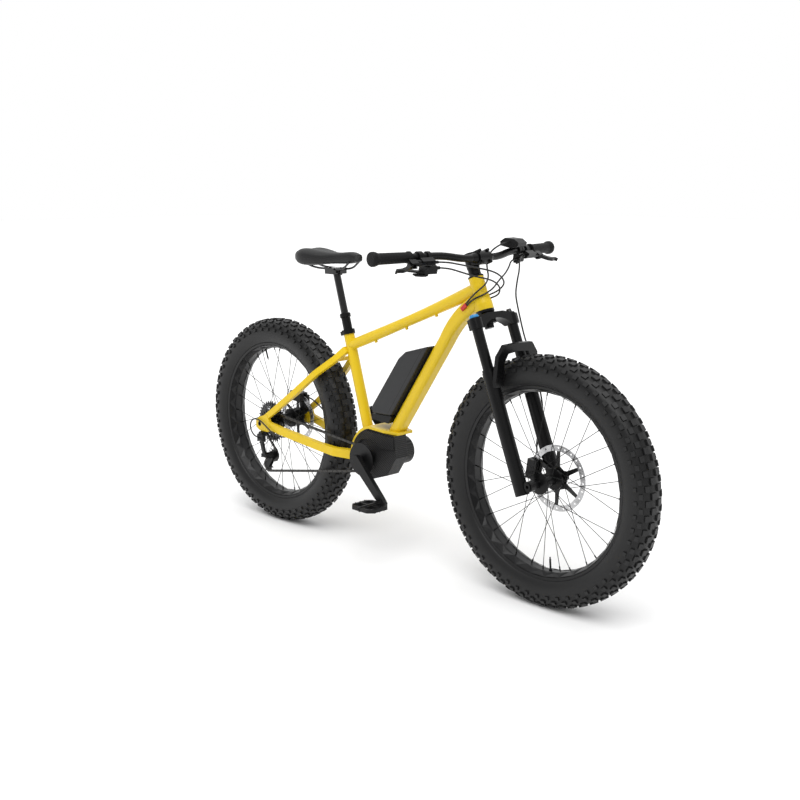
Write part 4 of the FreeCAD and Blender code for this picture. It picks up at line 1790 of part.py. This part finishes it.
# Rear hose and shift housing come out of the chainstays.
left_stay = right_chainstay.mirror(Vector(), ACROSS)
hose_end = list(reversed(leaving(rear_frame, rear_reach, 10, -38)))
rear_hose = routed("rear hose", [
    Vector(rear_axle.x + 196, 84, rear_axle.z - 22), Vector(rear_axle.x + 168, 88, rear_axle.z + 2),
    Vector(rear_axle.x + 128, 91, rear_axle.z + 36),
    Vector(rear_axle.x + 88, 82, rear_axle.z + 66)] + hose_end, 30)
rear_hose = max(rear_hose.cut(left_stay).Solids, key=lambda piece: piece.Volume)
loop_side = -drop_outer - 6
housing = routed("rear housing", [
    Vector(rear_axle.x + 140, -78, rear_axle.z - 26), Vector(rear_axle.x + 108, -104, rear_axle.z - 32),
    Vector(rear_axle.x + 70, loop_side, rear_axle.z - 16),
    Vector(rear_axle.x + 24, loop_side - 1, rear_axle.z + 10),
    Vector(rear_axle.x - 20, loop_side - 1, rear_axle.z + 18),
    Vector(rear_axle.x - 50, loop_side, rear_axle.z - 10),
    Vector(rear_axle.x - 34, loop_side, rear_axle.z - 42),
    Vector(mount_pin.x - upper_reach - 16, loop_side, rear_axle.z - 50),
    Vector(mount_pin.x - upper_reach - 0.5, loop_side, rear_axle.z - 50)], 30)
housing = max(housing.cut(right_chainstay).Solids, key=lambda piece: piece.Volume)
keep(shaped("frame_cable_set",
            Part.makeCompound([right_port, right_port.mirror(Vector(), ACROSS), rear_hose, housing])),
     "frame_cables")


def write_parts():
    doc.recompute()
    for thing in doc.Objects:
        wrong = [word for word in thing.State if word in ("Invalid", "Error")]
        if wrong:
            raise RuntimeError("%s is %s" % (thing.Label, wrong))
    for thing in nodes:
        if thing.Shape.isNull() or not thing.Shape.isValid():
            raise RuntimeError("%s has no valid shape" % thing.Label)
    os.makedirs("parts", exist_ok=True)
    for thing in nodes:
        thing.Shape.exportStep("parts/%s.step" % thing.Label)
        print("%-24s solids %3d  volume %10.0f" % (thing.Label, len(thing.Shape.Solids),
                                                   thing.Shape.Volume))


write_parts()
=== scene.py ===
# %% [markdown]
# A fat-tyre electric bike. The imported solids carry every hard piece; this script gives them
# surfaces, models the tyres and the soft saddle, lifts the cables out as meshes of their own, and
# sets the studio round them.
# Lengths are in metres: +X is forwards, +Y is the rider's left and +Z is up.

# %% Load the frame
import bpy
import math
import numpy as np
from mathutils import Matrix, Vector


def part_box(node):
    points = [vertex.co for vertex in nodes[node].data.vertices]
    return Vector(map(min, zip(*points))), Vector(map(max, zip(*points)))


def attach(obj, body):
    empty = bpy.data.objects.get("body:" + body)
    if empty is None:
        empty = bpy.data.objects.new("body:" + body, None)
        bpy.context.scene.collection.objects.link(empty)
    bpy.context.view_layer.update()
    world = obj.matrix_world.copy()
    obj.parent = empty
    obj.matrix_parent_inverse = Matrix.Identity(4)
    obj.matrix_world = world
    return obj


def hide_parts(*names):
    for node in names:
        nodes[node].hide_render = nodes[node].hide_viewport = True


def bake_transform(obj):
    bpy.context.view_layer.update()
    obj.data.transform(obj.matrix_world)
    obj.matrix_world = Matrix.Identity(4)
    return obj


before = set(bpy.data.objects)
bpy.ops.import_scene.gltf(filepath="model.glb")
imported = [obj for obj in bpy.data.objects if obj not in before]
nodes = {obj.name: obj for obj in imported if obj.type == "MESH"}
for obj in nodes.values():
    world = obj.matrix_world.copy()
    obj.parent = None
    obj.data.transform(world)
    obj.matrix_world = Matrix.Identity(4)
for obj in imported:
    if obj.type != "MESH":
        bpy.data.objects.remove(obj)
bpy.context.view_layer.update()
scene = bpy.context.scene

# %% [markdown]
# Every surface is a small graph: a broad noise drifts the colour, a fine noise varies the
# gloss and lifts a faint relief, and a rounding of the normals softens hard edges. A noise
# has no joins and needs no picture, so it works on any solid without unwrapping it.

# %% A surface with drift, grain and soft edges
def node(tree, kind, inputs=None, **settings):
    made = tree.nodes.new(kind)
    for key, value in settings.items():
        setattr(made, key, value)
    for key, value in (inputs or {}).items():
        socket = made.inputs[key]
        if isinstance(value, bpy.types.NodeSocket):
            tree.links.new(value, socket)
        else:
            socket.default_value = value
    return made


def mixed(tree, share, first, second):
    blend = node(tree, "ShaderNodeMix", {0: share, 6: first, 7: second}, data_type="RGBA")
    return blend.outputs[2]


def maths(tree, operation, *values):
    return node(tree, "ShaderNodeMath", dict(enumerate(values)), operation=operation).outputs[0]


def surface(name, dark, light, rough, metallic=0.0, grain=40.0, fine=700.0, bump=0.08, coat=0.0, shine=0.5,
            edge=0.0008):
    material = bpy.data.materials.new(name)
    material.use_nodes = True
    tree = material.node_tree
    shader = tree.nodes["Principled BSDF"]
    spot = node(tree, "ShaderNodeTexCoord").outputs["Object"]
    broad = node(tree, "ShaderNodeTexNoise", {"Vector": spot, "Scale": grain, "Detail": 4.0}).outputs["Fac"]
    small = node(tree, "ShaderNodeTexNoise", {"Vector": spot, "Scale": fine, "Detail": 3.0}).outputs["Fac"]
    colour = mixed(tree, broad, (*dark, 1.0), (*light, 1.0))
    gloss = node(tree, "ShaderNodeMapRange", {0: small, 1: 0.3, 2: 0.7, 3: rough - 0.06, 4: rough + 0.06})
    soft_edge = node(tree, "ShaderNodeBevel", {"Radius": edge}, samples=4)
    relief = node(tree, "ShaderNodeBump", {"Strength": bump, "Distance": 0.0006, "Height": small,
                                           "Normal": soft_edge.outputs[0]})
    tree.links.new(colour, shader.inputs["Base Color"])
    tree.links.new(gloss.outputs[0], shader.inputs["Roughness"])
    tree.links.new(relief.outputs[0], shader.inputs["Normal"])
    shader.inputs["Metallic"].default_value = metallic
    shader.inputs["Coat Weight"].default_value = coat
    shader.inputs["Specular IOR Level"].default_value = shine
    return {"material": material, "tree": tree, "shader": shader, "spot": spot, "colour": colour,
            "relief": relief}


def wear(made, *names):
    for name in names:
        piece = nodes[name] if isinstance(name, str) else name
        piece.data.materials.clear()
        piece.data.materials.append(made["material"])


def recolour(made, colour):
    made["tree"].links.new(colour, made["shader"].inputs["Base Color"])


def lift(made, height, strength, distance=0.001):
    """Adds a further relief over a surface's own grain."""
    more = node(made["tree"], "ShaderNodeBump", {"Strength": strength, "Distance": distance,
                                                 "Height": height, "Normal": made["relief"].outputs[0]})
    made["tree"].links.new(more.outputs[0], made["shader"].inputs["Normal"])


def from_axis(made, x, z):
    """How far a surface's points lie ahead of, above and from a line across the bike."""
    tree = made["tree"]
    axes = node(tree, "ShaderNodeSeparateXYZ", {0: made["spot"]})
    forward = maths(tree, "SUBTRACT", axes.outputs[0], x)
    above = maths(tree, "SUBTRACT", axes.outputs[2], z)
    squares = maths(tree, "ADD", maths(tree, "MULTIPLY", forward, forward),
                    maths(tree, "MULTIPLY", above, above))
    return forward, above, maths(tree, "SQRT", squares)


# %% [markdown]
# The frame is sprayed a warm yellow under a clear coat. A coat layer over a satin base gives the
# crisp highlight on top of the broad one, as a lacquered tube has.

# %% Yellow paint
paint = surface("yellow paint", (0.70, 0.48, 0.008), (0.76, 0.53, 0.012), 0.34, grain=9.0, fine=1500.0,
                bump=0.03, coat=0.12, edge=0.0015, shine=0.3)
wear(paint, "head_tube", "motor_cradle", "seat_tube", "down_tube", "top_tube", "chainstays", "seatstays")

# %% [markdown]
# Fork, bar, post, hubs and brakes are anodised or painted black. One satin black with a dim
# sheen serves them all; the cranks are a little greyer because they are forged and blasted, and
# the shaft that slides in the seat post is polished.

# %% Black metal
black = surface("satin black metal", (0.002, 0.002, 0.0022), (0.004, 0.004, 0.0043), 0.3, grain=30.0,
                bump=0.05, shine=0.22)
wear(black, "headset_cups", "seat_clamp", "dropper_outer_tube", "fork_crown", "fork_lowers", "stem",
     "front_hub", "rear_hub", "front_axle", "rear_axle", "right_brake_body", "left_brake_body",
     "right_brake_lever", "left_brake_lever", "handlebar")
polished = surface("polished black shaft", (0.006, 0.006, 0.006), (0.012, 0.012, 0.012), 0.16, grain=20.0,
                   bump=0.01)
wear(polished, "dropper_inner_tube")
forged = surface("forged dark alloy", (0.003, 0.003, 0.0033), (0.008, 0.008, 0.0085), 0.36, grain=70.0,
                 fine=1200.0, bump=0.12, shine=0.25)
wear(forged, "crank_set", "right_pedal", "left_pedal", "chainring", "derailleur_mount", "derailleur_link",
     "derailleur_knuckle", "derailleur_cage", "front_brake_caliper", "rear_brake_caliper")

# %% [markdown]
# Moulded cases have a spark-eroded grain. Cells from a Voronoi pattern stand close together,
# like that grain, where a plain noise would look cloudy.

# %% Moulded plastic
plastic = surface("moulded black plastic", (0.003, 0.003, 0.0033), (0.006, 0.006, 0.0065), 0.42, grain=50.0,
                  shine=0.25)
cells = node(plastic["tree"], "ShaderNodeTexVoronoi", {"Vector": plastic["spot"], "Scale": 900.0})
lift(plastic, cells.outputs["Distance"], 0.12, 0.0004)
wear(plastic, "shifter_body", "shift_push_paddle", "shift_release_paddle", "dropper_remote",
     "dropper_paddle", "display_unit", "battery_dock", "guide_pulley", "tension_pulley")

# %% [markdown]
# The battery case is a shade lighter than the motor, with a fine mould grain. Its corners are
# rounded by a bevel on the solid's sharp edges, and a dark line parts its top shell from its body.
# The line keeps one distance from the down tube, which is given by a point and the way square to it.

# %% Battery case
down_start = (-0.0065, 0.4295)
down_way = (0.826, -0.5635)
seam_distance = 0.038
seam_half_width = 0.0012
case = surface("battery case", (0.013, 0.0135, 0.015), (0.020, 0.0205, 0.022), 0.45, grain=25.0, bump=0.08,
               edge=0.003, shine=0.4)
tree = case["tree"]
grains = node(tree, "ShaderNodeTexVoronoi", {"Vector": case["spot"], "Scale": 1100.0}).outputs["Distance"]
lift(case, grains, 0.1, 0.0003)
forward, above = from_axis(case, *down_start)[:2]
from_tube = maths(tree, "ADD", maths(tree, "MULTIPLY", forward, down_way[0]),
                  maths(tree, "MULTIPLY", above, down_way[1]))
from_seam = maths(tree, "ABSOLUTE", maths(tree, "ADD", from_tube, seam_distance))
seam = maths(tree, "LESS_THAN", from_seam, seam_half_width)
recolour(case, mixed(tree, seam, case["colour"], (0.001, 0.001, 0.001, 1.0)))
wear(case, "battery")
battery = nodes["battery"]
battery.modifiers.new("joined corners", "WELD").merge_threshold = 0.00002
rounding = battery.modifiers.new("rounded edges", "BEVEL")
rounding.width = 0.007
rounding.segments = 4
rounding.limit_method = "ANGLE"
rounding.angle_limit = math.radians(35)
print("battery edges rounded by", rounding.width)

# %% [markdown]
# The motor has rings round the crank and fine ribs on the rest. The rings are a wave of the distance
# from the crank axis, and the ribs a wave of a slanting height.

# %% Motor ribs
crank = (-0.106, 0.323)
motor = surface("motor housing", (0.003, 0.003, 0.0033), (0.007, 0.007, 0.0075), 0.36, grain=60.0,
                edge=0.002, shine=0.3)
tree = motor["tree"]
forward, above, reach = from_axis(motor, *crank)
radians_per_metre = 1100.0
rib_slope = 0.5
ring_zone = 0.05
rings = maths(tree, "SINE", maths(tree, "MULTIPLY", reach, radians_per_metre))
slant = maths(tree, "ADD", above, maths(tree, "MULTIPLY", forward, rib_slope))
ribs = maths(tree, "SINE", maths(tree, "MULTIPLY", slant, radians_per_metre))
near = maths(tree, "LESS_THAN", reach, ring_zone)
pattern = node(tree, "ShaderNodeMix", {0: near, 2: ribs, 3: rings}, data_type="FLOAT").outputs[0]
lift(motor, pattern, 0.7, 0.0012)
wear(motor, "motor_housing")

# %% [markdown]
# Grips are matte rubber with a small waffle pressed in, drawn as a chequer of raised squares. The
# housing of the cables is a smoother black.

# %% Grips and cable housing
grip = surface("grip rubber", (0.002, 0.002, 0.0022), (0.005, 0.005, 0.0052), 0.6, grain=60.0, bump=0.1,
               shine=0.22)
waves = node(grip["tree"], "ShaderNodeTexChecker", {"Vector": grip["spot"], "Scale": 330.0}).outputs["Fac"]
lift(grip, waves, 0.3, 0.0008)
wear(grip, "grips")
hose = surface("cable housing", (0.004, 0.004, 0.004), (0.007, 0.007, 0.007), 0.4, grain=90.0, bump=0.05)

# %% [markdown]
# The frame's cables are black, but the grommet on the right of the down tube is red. A piece of
# the same node takes its colour from where it lies, so the node need not be cut up.

# %% Cable port
ports = surface("cables and port", (0.006, 0.006, 0.006), (0.010, 0.010, 0.010), 0.45, grain=90.0,
                bump=0.05)
red = (0.55, 0.025, 0.02, 1.0)
tree = ports["tree"]
axes = node(tree, "ShaderNodeSeparateXYZ", {0: ports["spot"]})
ahead = maths(tree, "GREATER_THAN", axes.outputs[0], 0.2)
right = maths(tree, "LESS_THAN", axes.outputs[1], 0.0)
recolour(ports, mixed(tree, maths(tree, "MULTIPLY", ahead, right), ports["colour"], red))
wear(ports, "frame_cables")

# %% [markdown]
# Rims are black, and their sloping inner faces carry a relief of pressed triangles. A strip of
# triangles between two circles draws it: every second one is lifted in its middle like a low
# pyramid, so the facets catch the light one after another.

# %% Rims and their pressed triangles
axle_height = 0.372
axles = {"front": 0.606, "rear": -0.606}
rim_black = surface("rim black", (0.003, 0.003, 0.0035), (0.007, 0.007, 0.0075), 0.38, grain=40.0,
                    shine=0.35)
wear(rim_black, "front_rim", "rear_rim")


def on_wheel(axle_x, y, reach, angle):
    return (axle_x + reach * math.cos(angle), y, axle_height + reach * math.sin(angle))


def made_mesh(name, points, faces, smooth=False):
    mesh = bpy.data.meshes.new(name)
    mesh.from_pydata(points, [], faces)
    mesh.update()
    for face in mesh.polygons:
        face.use_smooth = smooth
    piece = bpy.data.objects.new(name, mesh)
    scene.collection.objects.link(piece)
    return piece


triangles = 32
well_edge = (0.0145, 0.2656)
lip_edge = (0.0352, 0.2756)
peak_at = (0.0215, 0.2662)
for end, axle_x in axles.items():
    points = []
    faces = []
    step = 2 * math.pi / triangles
    for hand in (-1, 1):
        for k in range(triangles):
            base = len(points)
            for edge, turn in ((well_edge, 0), (well_edge, 1), (lip_edge, 0.5), (lip_edge, 1.5),
                               (peak_at, 0.5)):
                points.append(on_wheel(axle_x, hand * edge[0], edge[1], step * (k + turn)))
            corners = ((0, 2, 4), (2, 1, 4), (1, 0, 4), (2, 3, 1))
            faces += [tuple(base + corner for corner in face) for face in corners]
    relief = made_mesh(end + "_rim_triangles", points, faces)
    wear(rim_black, relief)
    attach(relief, end + "_wheel")
    print(relief.name, len(faces), "facets")

# %% [markdown]
# Spokes are black wire, too thin to show more than a dull sheen.

# %% Spokes
spoke = surface("black spokes", (0.002, 0.002, 0.002), (0.005, 0.005, 0.005), 0.4, grain=300.0, shine=0.2)
wear(spoke, "front_spokes", "rear_spokes")

# %% [markdown]
# Tyres are soft, so they are modelled here. The casing is one outline turned round the axle. The
# knobs are tapered blocks standing on it, in four rows a side that repeat round the tyre; the
# two sides are half a repeat apart, as tread is cut so that it doesn't hum.

# %% Tyre rubber
tyre_rubber = surface("tyre rubber", (0.003, 0.003, 0.0032), (0.005, 0.005, 0.0052), 0.42, grain=35.0,
                      fine=1800.0, bump=0.12, shine=0.3, edge=0.0004)
tree = tyre_rubber["tree"]
# The attribute read here paints light and shade into the rubber: knob tops lighter, the floor between the
# knobs darker as shade.
painted_tread_light_and_shade = node(tree, "ShaderNodeAttribute", attribute_name="painted_tread_light_and_shade").outputs["Fac"]
recolour(tyre_rubber, mixed(tree, painted_tread_light_and_shade, tyre_rubber["colour"], (0.014, 0.014, 0.0144, 1.0)))

# %% [markdown]
# The outline below is half the casing, from bead to crown. A knob is given by where it starts and
# stops across the tread and along one repeat, and by its height.

# %% Tyre outline and one knob
outline = [(37.0, 284.0), (41.0, 289.0), (45.8, 298.0), (49.0, 309.0), (50.0, 321.0), (49.0, 334.0),
           (45.5, 346.0), (39.5, 355.0), (31.0, 361.3), (20.5, 365.0), (10.0, 366.6), (0.0, 367.0)]
half_line = np.array(outline[::-1]) / 1000
runs = np.concatenate([[0], np.cumsum(np.linalg.norm(np.diff(half_line, axis=0), axis=1))])
repeats = 56
knobs = [(0.0030, 0.0215, 0.55, 1.02, 0.0052), (0.0260, 0.0395, 0.10, 0.54, 0.0050),
         (0.0440, 0.0555, 0.62, 1.02, 0.0048), (0.0600, 0.0705, 0.18, 0.50, 0.0046)]


def on_casing(run, rise):
    """A point of the outline a run away from its crown, raised square to it."""
    near = 0.002
    before, here, after = ([np.interp(run + shift, runs, half_line[:, k]) for k in (0, 1)]
                           for shift in (-near, 0.0, near))
    y, reach = here
    over, fall = (after[k] - before[k] for k in (0, 1))
    size = math.hypot(over, fall)
    return y - fall / size * rise, reach + over / size * rise


def knob(points, faces, axle_x, hand, row, turn):
    start, stop, first, last, height = row
    pitch = 2 * math.pi / repeats
    base = len(points)
    for rise, draft in ((-0.0006, 0.0), (height, 0.0008)):
        for run, share, way in ((start + draft, first, 1), (start + draft, last, -1),
                                (stop - draft, last, -1), (stop - draft, first, 1)):
            y, reach = on_casing(run, rise)
            points.append(on_wheel(axle_x, hand * y, reach, turn + share * pitch + way * draft / reach))
    faces += [(base + k, base + (k + 1) % 4, base + 4 + (k + 1) % 4, base + 4 + k) for k in range(4)]
    faces.append((base + 4, base + 5, base + 6, base + 7))


# %% [markdown]
# Both tyres are the same mesh on their own axles. A number kept at each point paints light and shade
# into the rubber: knob tops painted lighter, the sidewall a middle tone, and the floor between the knobs
# and each knob's foot painted dark as shade.

# %% Both tyres
steps = 144
tread_from = 344
painted_floor_shade = 0.1
sidewall_painted_shade = 0.55
inside = [(-34.0, 286.0), (-45.0, 312.0), (-40.0, 346.0), (0.0, 362.0), (40.0, 346.0), (45.0, 312.0),
          (34.0, 286.0)]
ring_line = outline + [(-y, r) for y, r in outline[-2::-1]] + inside
count = len(ring_line)
for end, axle_x in axles.items():
    points = [on_wheel(axle_x, y / 1000, r / 1000, 2 * math.pi * k / steps)
              for k in range(steps) for y, r in ring_line]
    faces = [(k * count + n, k * count + (n + 1) % count, (k + 1) % steps * count + (n + 1) % count,
              (k + 1) % steps * count + n) for k in range(steps) for n in range(count)]
    # Painted shade: points on the floor between the knobs get a low value, those on the sidewall a middle
    # one.
    painted_light_and_shade = [painted_floor_shade if r > tread_from else sidewall_painted_shade for k in range(steps) for y, r in ring_line]
    casing_faces = len(faces)
    for k in range(repeats):
        for hand in (-1, 1):
            for row in knobs:
                knob(points, faces, axle_x, hand, row, 2 * math.pi * (k + (hand + 1) / 4) / repeats)
                # Painted shade at each knob's foot and painted light on its top.
                painted_light_and_shade += [0.0] * 4 + [1.0] * 4
    tyre = made_mesh(end + "_tyre_modelled", points, faces)
    tyre.data.attributes.new("painted_tread_light_and_shade", "FLOAT", "POINT").data.foreach_set("value", painted_light_and_shade)
    for face in tyre.data.polygons[:casing_faces]:
        face.use_smooth = True
    wear(tyre_rubber, tyre)
    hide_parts(end + "_tyre")
    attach(tyre, end + "_wheel")
    print(tyre.name, len(faces), "faces")

# %% [markdown]
# A brake disc is bright steel on its braking band and black on its arms. The distance from the
# axle tells them apart, and a fine ring pattern stands for the ground finish.

# %% Brake discs
for end, band in (("front", 0.082), ("rear", 0.072)):
    disc = surface(end + " disc steel", (0.50, 0.50, 0.51), (0.62, 0.62, 0.63), 0.3, 1.0, grain=80.0,
                   edge=0.0003)
    tree = disc["tree"]
    reach = from_axis(disc, axles[end], axle_height)[2]
    lift(disc, maths(tree, "SINE", maths(tree, "MULTIPLY", reach, 9000.0)), 0.15, 0.0002)
    arms = maths(tree, "LESS_THAN", reach, band)
    recolour(disc, mixed(tree, arms, disc["colour"], (0.006, 0.006, 0.006, 1.0)))
    tree.links.new(maths(tree, "SUBTRACT", 1.0, arms), disc["shader"].inputs["Metallic"])
    wear(disc, end + "_brake_rotor")

# %% [markdown]
# Chain, sprockets and rails are steel in a dark finish; oil leaves the chain darker in patches. The
# fork's caps are black on the left and blue on the right.

# %% Steel and fork caps
steel = surface("dark steel", (0.05, 0.05, 0.052), (0.11, 0.11, 0.113), 0.34, 1.0, grain=120.0, edge=0.0003)
wear(steel, "cassette", "saddle_rails")
links = surface("oiled chain", (0.03, 0.029, 0.028), (0.09, 0.088, 0.085), 0.3, 1.0, grain=200.0,
                edge=0.0003)
wear(links, "chain")
caps = surface("fork caps", (0.008, 0.008, 0.009), (0.014, 0.014, 0.015), 0.35, grain=60.0)
tree = caps["tree"]
axes = node(tree, "ShaderNodeSeparateXYZ", {0: caps["spot"]})
blue_side = maths(tree, "LESS_THAN", axes.outputs[1], 0.0)
recolour(caps, mixed(tree, blue_side, caps["colour"], (0.02, 0.22, 0.50, 1.0)))
wear(caps, "fork_caps")

# %% [markdown]
# The saddle is a padded shell: foam under a stretched cover, higher at the tail, narrow at the
# nose, with a shallow channel along the middle. It is built as rings of points along its length
# and smoothed by subdivision, which keeps the tight, seamless skin of a moulded saddle. A station
# gives a share of the length, a share of the half width, and the foot and crown in mm over the rails.

# %% Saddle sections
low_corner, high_corner = (Vector(corner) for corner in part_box("saddle"))
nose_x = high_corner.x - 0.006
saddle_length = high_corner.x - low_corner.x - 0.018
half_width = (high_corner.y - low_corner.y) / 2
rail_z = 0.938
stations = np.array([(0.0, 0.20, 30, 50), (0.04, 0.29, 24, 58), (0.14, 0.33, 20, 60), (0.3, 0.38, 18, 55),
                     (0.45, 0.50, 16, 54), (0.62, 0.80, 11, 60), (0.8, 0.92, 6, 67), (0.92, 0.84, 8, 66),
                     (1.0, 0.56, 18, 56)])
along = np.linspace(0.0, 1.0, 34)
kernel = np.array([1, 2, 3, 2, 1]) / 9


def eased(column):
    row = np.interp(along, stations[:, 0], stations[:, column])
    return np.convolve(np.pad(row, 2, mode="edge"), kernel, mode="valid")


def rounded(value, power):
    return math.copysign(abs(value) ** power, value)


# %% [markdown]
# Each section is a rounded closed line between the foot and the crown of the saddle. The sections
# are joined into one skin, closed at nose and tail.

# %% Saddle cover
around = 40
points = []
for share, width, foot, crown in zip(along, eased(1), eased(2), eased(3)):
    for k in range(around):
        turn = 2 * math.pi * k / around
        y = half_width * width * rounded(math.cos(turn), 0.6)
        middle = foot + (crown - foot) * 0.45
        rise = math.sin(turn)
        if rise > 0:
            channel = 5.0 * math.exp(-(y / 0.018) ** 2) * min(max((share - 0.5) / 0.3, 0.0), 1.0)
            z = middle + (crown - middle) * rounded(rise, 0.75) - channel
        else:
            z = middle + (middle - foot) * rounded(rise, 0.6)
        points.append((nose_x - saddle_length * share, y, rail_z + z / 1000))
faces = [(ring * around + k, ring * around + (k + 1) % around, (ring + 1) * around + (k + 1) % around,
          (ring + 1) * around + k) for ring in range(len(along) - 1) for k in range(around)]
faces.append(tuple(range(around)))
faces.append(tuple(reversed(range((len(along) - 1) * around, len(along) * around))))
saddle = made_mesh("saddle_cover", points, faces, smooth=True)
skin = saddle.modifiers.new("smooth skin", "SUBSURF")
skin.levels = 1
skin.render_levels = 1
leather = surface("saddle cover", (0.004, 0.004, 0.0045), (0.009, 0.009, 0.0095), 0.5, grain=30.0, edge=0.0,
                  shine=0.4)
creases = node(leather["tree"], "ShaderNodeTexVoronoi", {"Vector": leather["spot"], "Scale": 600.0})
lift(leather, creases.outputs["Distance"], 0.2, 0.0004)
wear(leather, saddle)
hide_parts("saddle")
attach(saddle, "saddle")
print("saddle points", len(points))

# %% [markdown]
# The cables run from the bar to the frame. Each is lifted out of its solid as a mesh of its own,
# and the solid is hidden.

# %% Cables as meshes of their own
def islands(mesh):
    """The connected pieces of a mesh, as lists of vertex numbers."""
    spots = {}
    parent = list(range(len(mesh.vertices)))

    def root(k):
        while parent[k] != k:
            parent[k] = parent[parent[k]]
            k = parent[k]
        return k

    for vertex in mesh.vertices:
        key = tuple(round(value, 6) for value in vertex.co)
        parent[root(vertex.index)] = root(spots.setdefault(key, vertex.index))
    for edge in mesh.edges:
        parent[root(edge.vertices[0])] = root(edge.vertices[1])
    groups = {}
    for k in range(len(parent)):
        groups.setdefault(root(k), []).append(k)
    return list(groups.values())


source = nodes["control_cables"].data
fork_hose_below = 0.6
cables = []
for members in islands(source):
    number = {old: new for new, old in enumerate(members)}
    mesh = bpy.data.meshes.new("cable")
    own_faces = [face for face in source.polygons if face.vertices[0] in number]
    mesh.from_pydata([source.vertices[k].co for k in members], [],
                     [[number[v] for v in face.vertices] for face in own_faces])
    for face in mesh.polygons:
        face.use_smooth = True
    cable = bpy.data.objects.new("cable_%d" % len(cables), mesh)
    scene.collection.objects.link(cable)
    wear(hose, cable)
    cables.append(cable)
for cable in cables:
    corners = np.array([v.co for v in cable.data.vertices])
    lowest = corners[corners[:, 2].argmin()]
    highest = corners[corners[:, 2].argmax()]
    if lowest[2] < fork_hose_below:
        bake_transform(cable)
    else:
        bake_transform(cable)
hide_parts("control_cables")
print("cables", len(cables))

# %% [markdown]
# A studio: a pale floor, a white surround and one broad lamp above. The surround is bright overhead
# and beyond the bike, and half as bright on the near side, so that black pieces stay black. Large
# soft sources keep the shadow under the wheels gentle, as on the white ground of a catalogue.

# %% Studio and camera
bpy.ops.mesh.primitive_plane_add(size=60.0, location=(0, 0, 0))
floor = bpy.context.object
floor.name = "studio_floor"
ground = surface("pale floor", (0.90, 0.90, 0.90), (0.92, 0.92, 0.92), 0.9, grain=3.0, bump=0.0,
                 edge=0.0, shine=0.0)
wear(ground, floor)
yaw, pitch = 0.787949, 0.194835
facing = Vector((-math.sin(yaw) * math.cos(pitch), math.cos(yaw) * math.cos(pitch), -math.sin(pitch)))
world = bpy.data.worlds.new("studio")
scene.world = world
world.use_nodes = True
sky = world.node_tree
aim = node(sky, "ShaderNodeTexCoord").outputs["Generated"]
towards = node(sky, "ShaderNodeVectorMath", {0: aim, 1: (facing.x, facing.y, 0.0)}, operation="DOT_PRODUCT")
behind = towards.outputs["Value"]
above = node(sky, "ShaderNodeSeparateXYZ", {0: aim}).outputs[2]
wall = node(sky, "ShaderNodeMapRange", {0: behind, 1: -0.1, 2: 0.5, 3: 0.5, 4: 1.0}).outputs[0]
ceiling = node(sky, "ShaderNodeMapRange", {0: above, 1: 0.35, 2: 0.75, 3: 0.0, 4: 1.15}).outputs[0]
glow = maths(sky, "MAXIMUM", wall, ceiling)
sky.links.new(glow, sky.nodes["Background"].inputs["Strength"])
sky.nodes["Background"].inputs["Color"].default_value = (1.0, 1.0, 1.0, 1.0)
sun_data = bpy.data.lights.new("soft_sun", "SUN")
sun_data.energy = 1.6
sun_data.angle = math.radians(50)
sun = bpy.data.objects.new("soft_sun", sun_data)
sun.rotation_euler = Vector((-0.35, 0.45, -1.0)).to_track_quat("-Z", "Y").to_euler()
scene.collection.objects.link(sun)
camera_data = bpy.data.cameras.new("camera")
camera_data.lens = 50.0
camera_data.sensor_width = 36.0
camera = bpy.data.objects.new("camera", camera_data)
camera.location = (2.51683, -2.50168, 1.22868)
camera.rotation_euler = facing.to_track_quat("-Z", "Y").to_euler()
scene.collection.objects.link(camera)
scene.camera = camera
scene.view_settings.view_transform = "Standard"
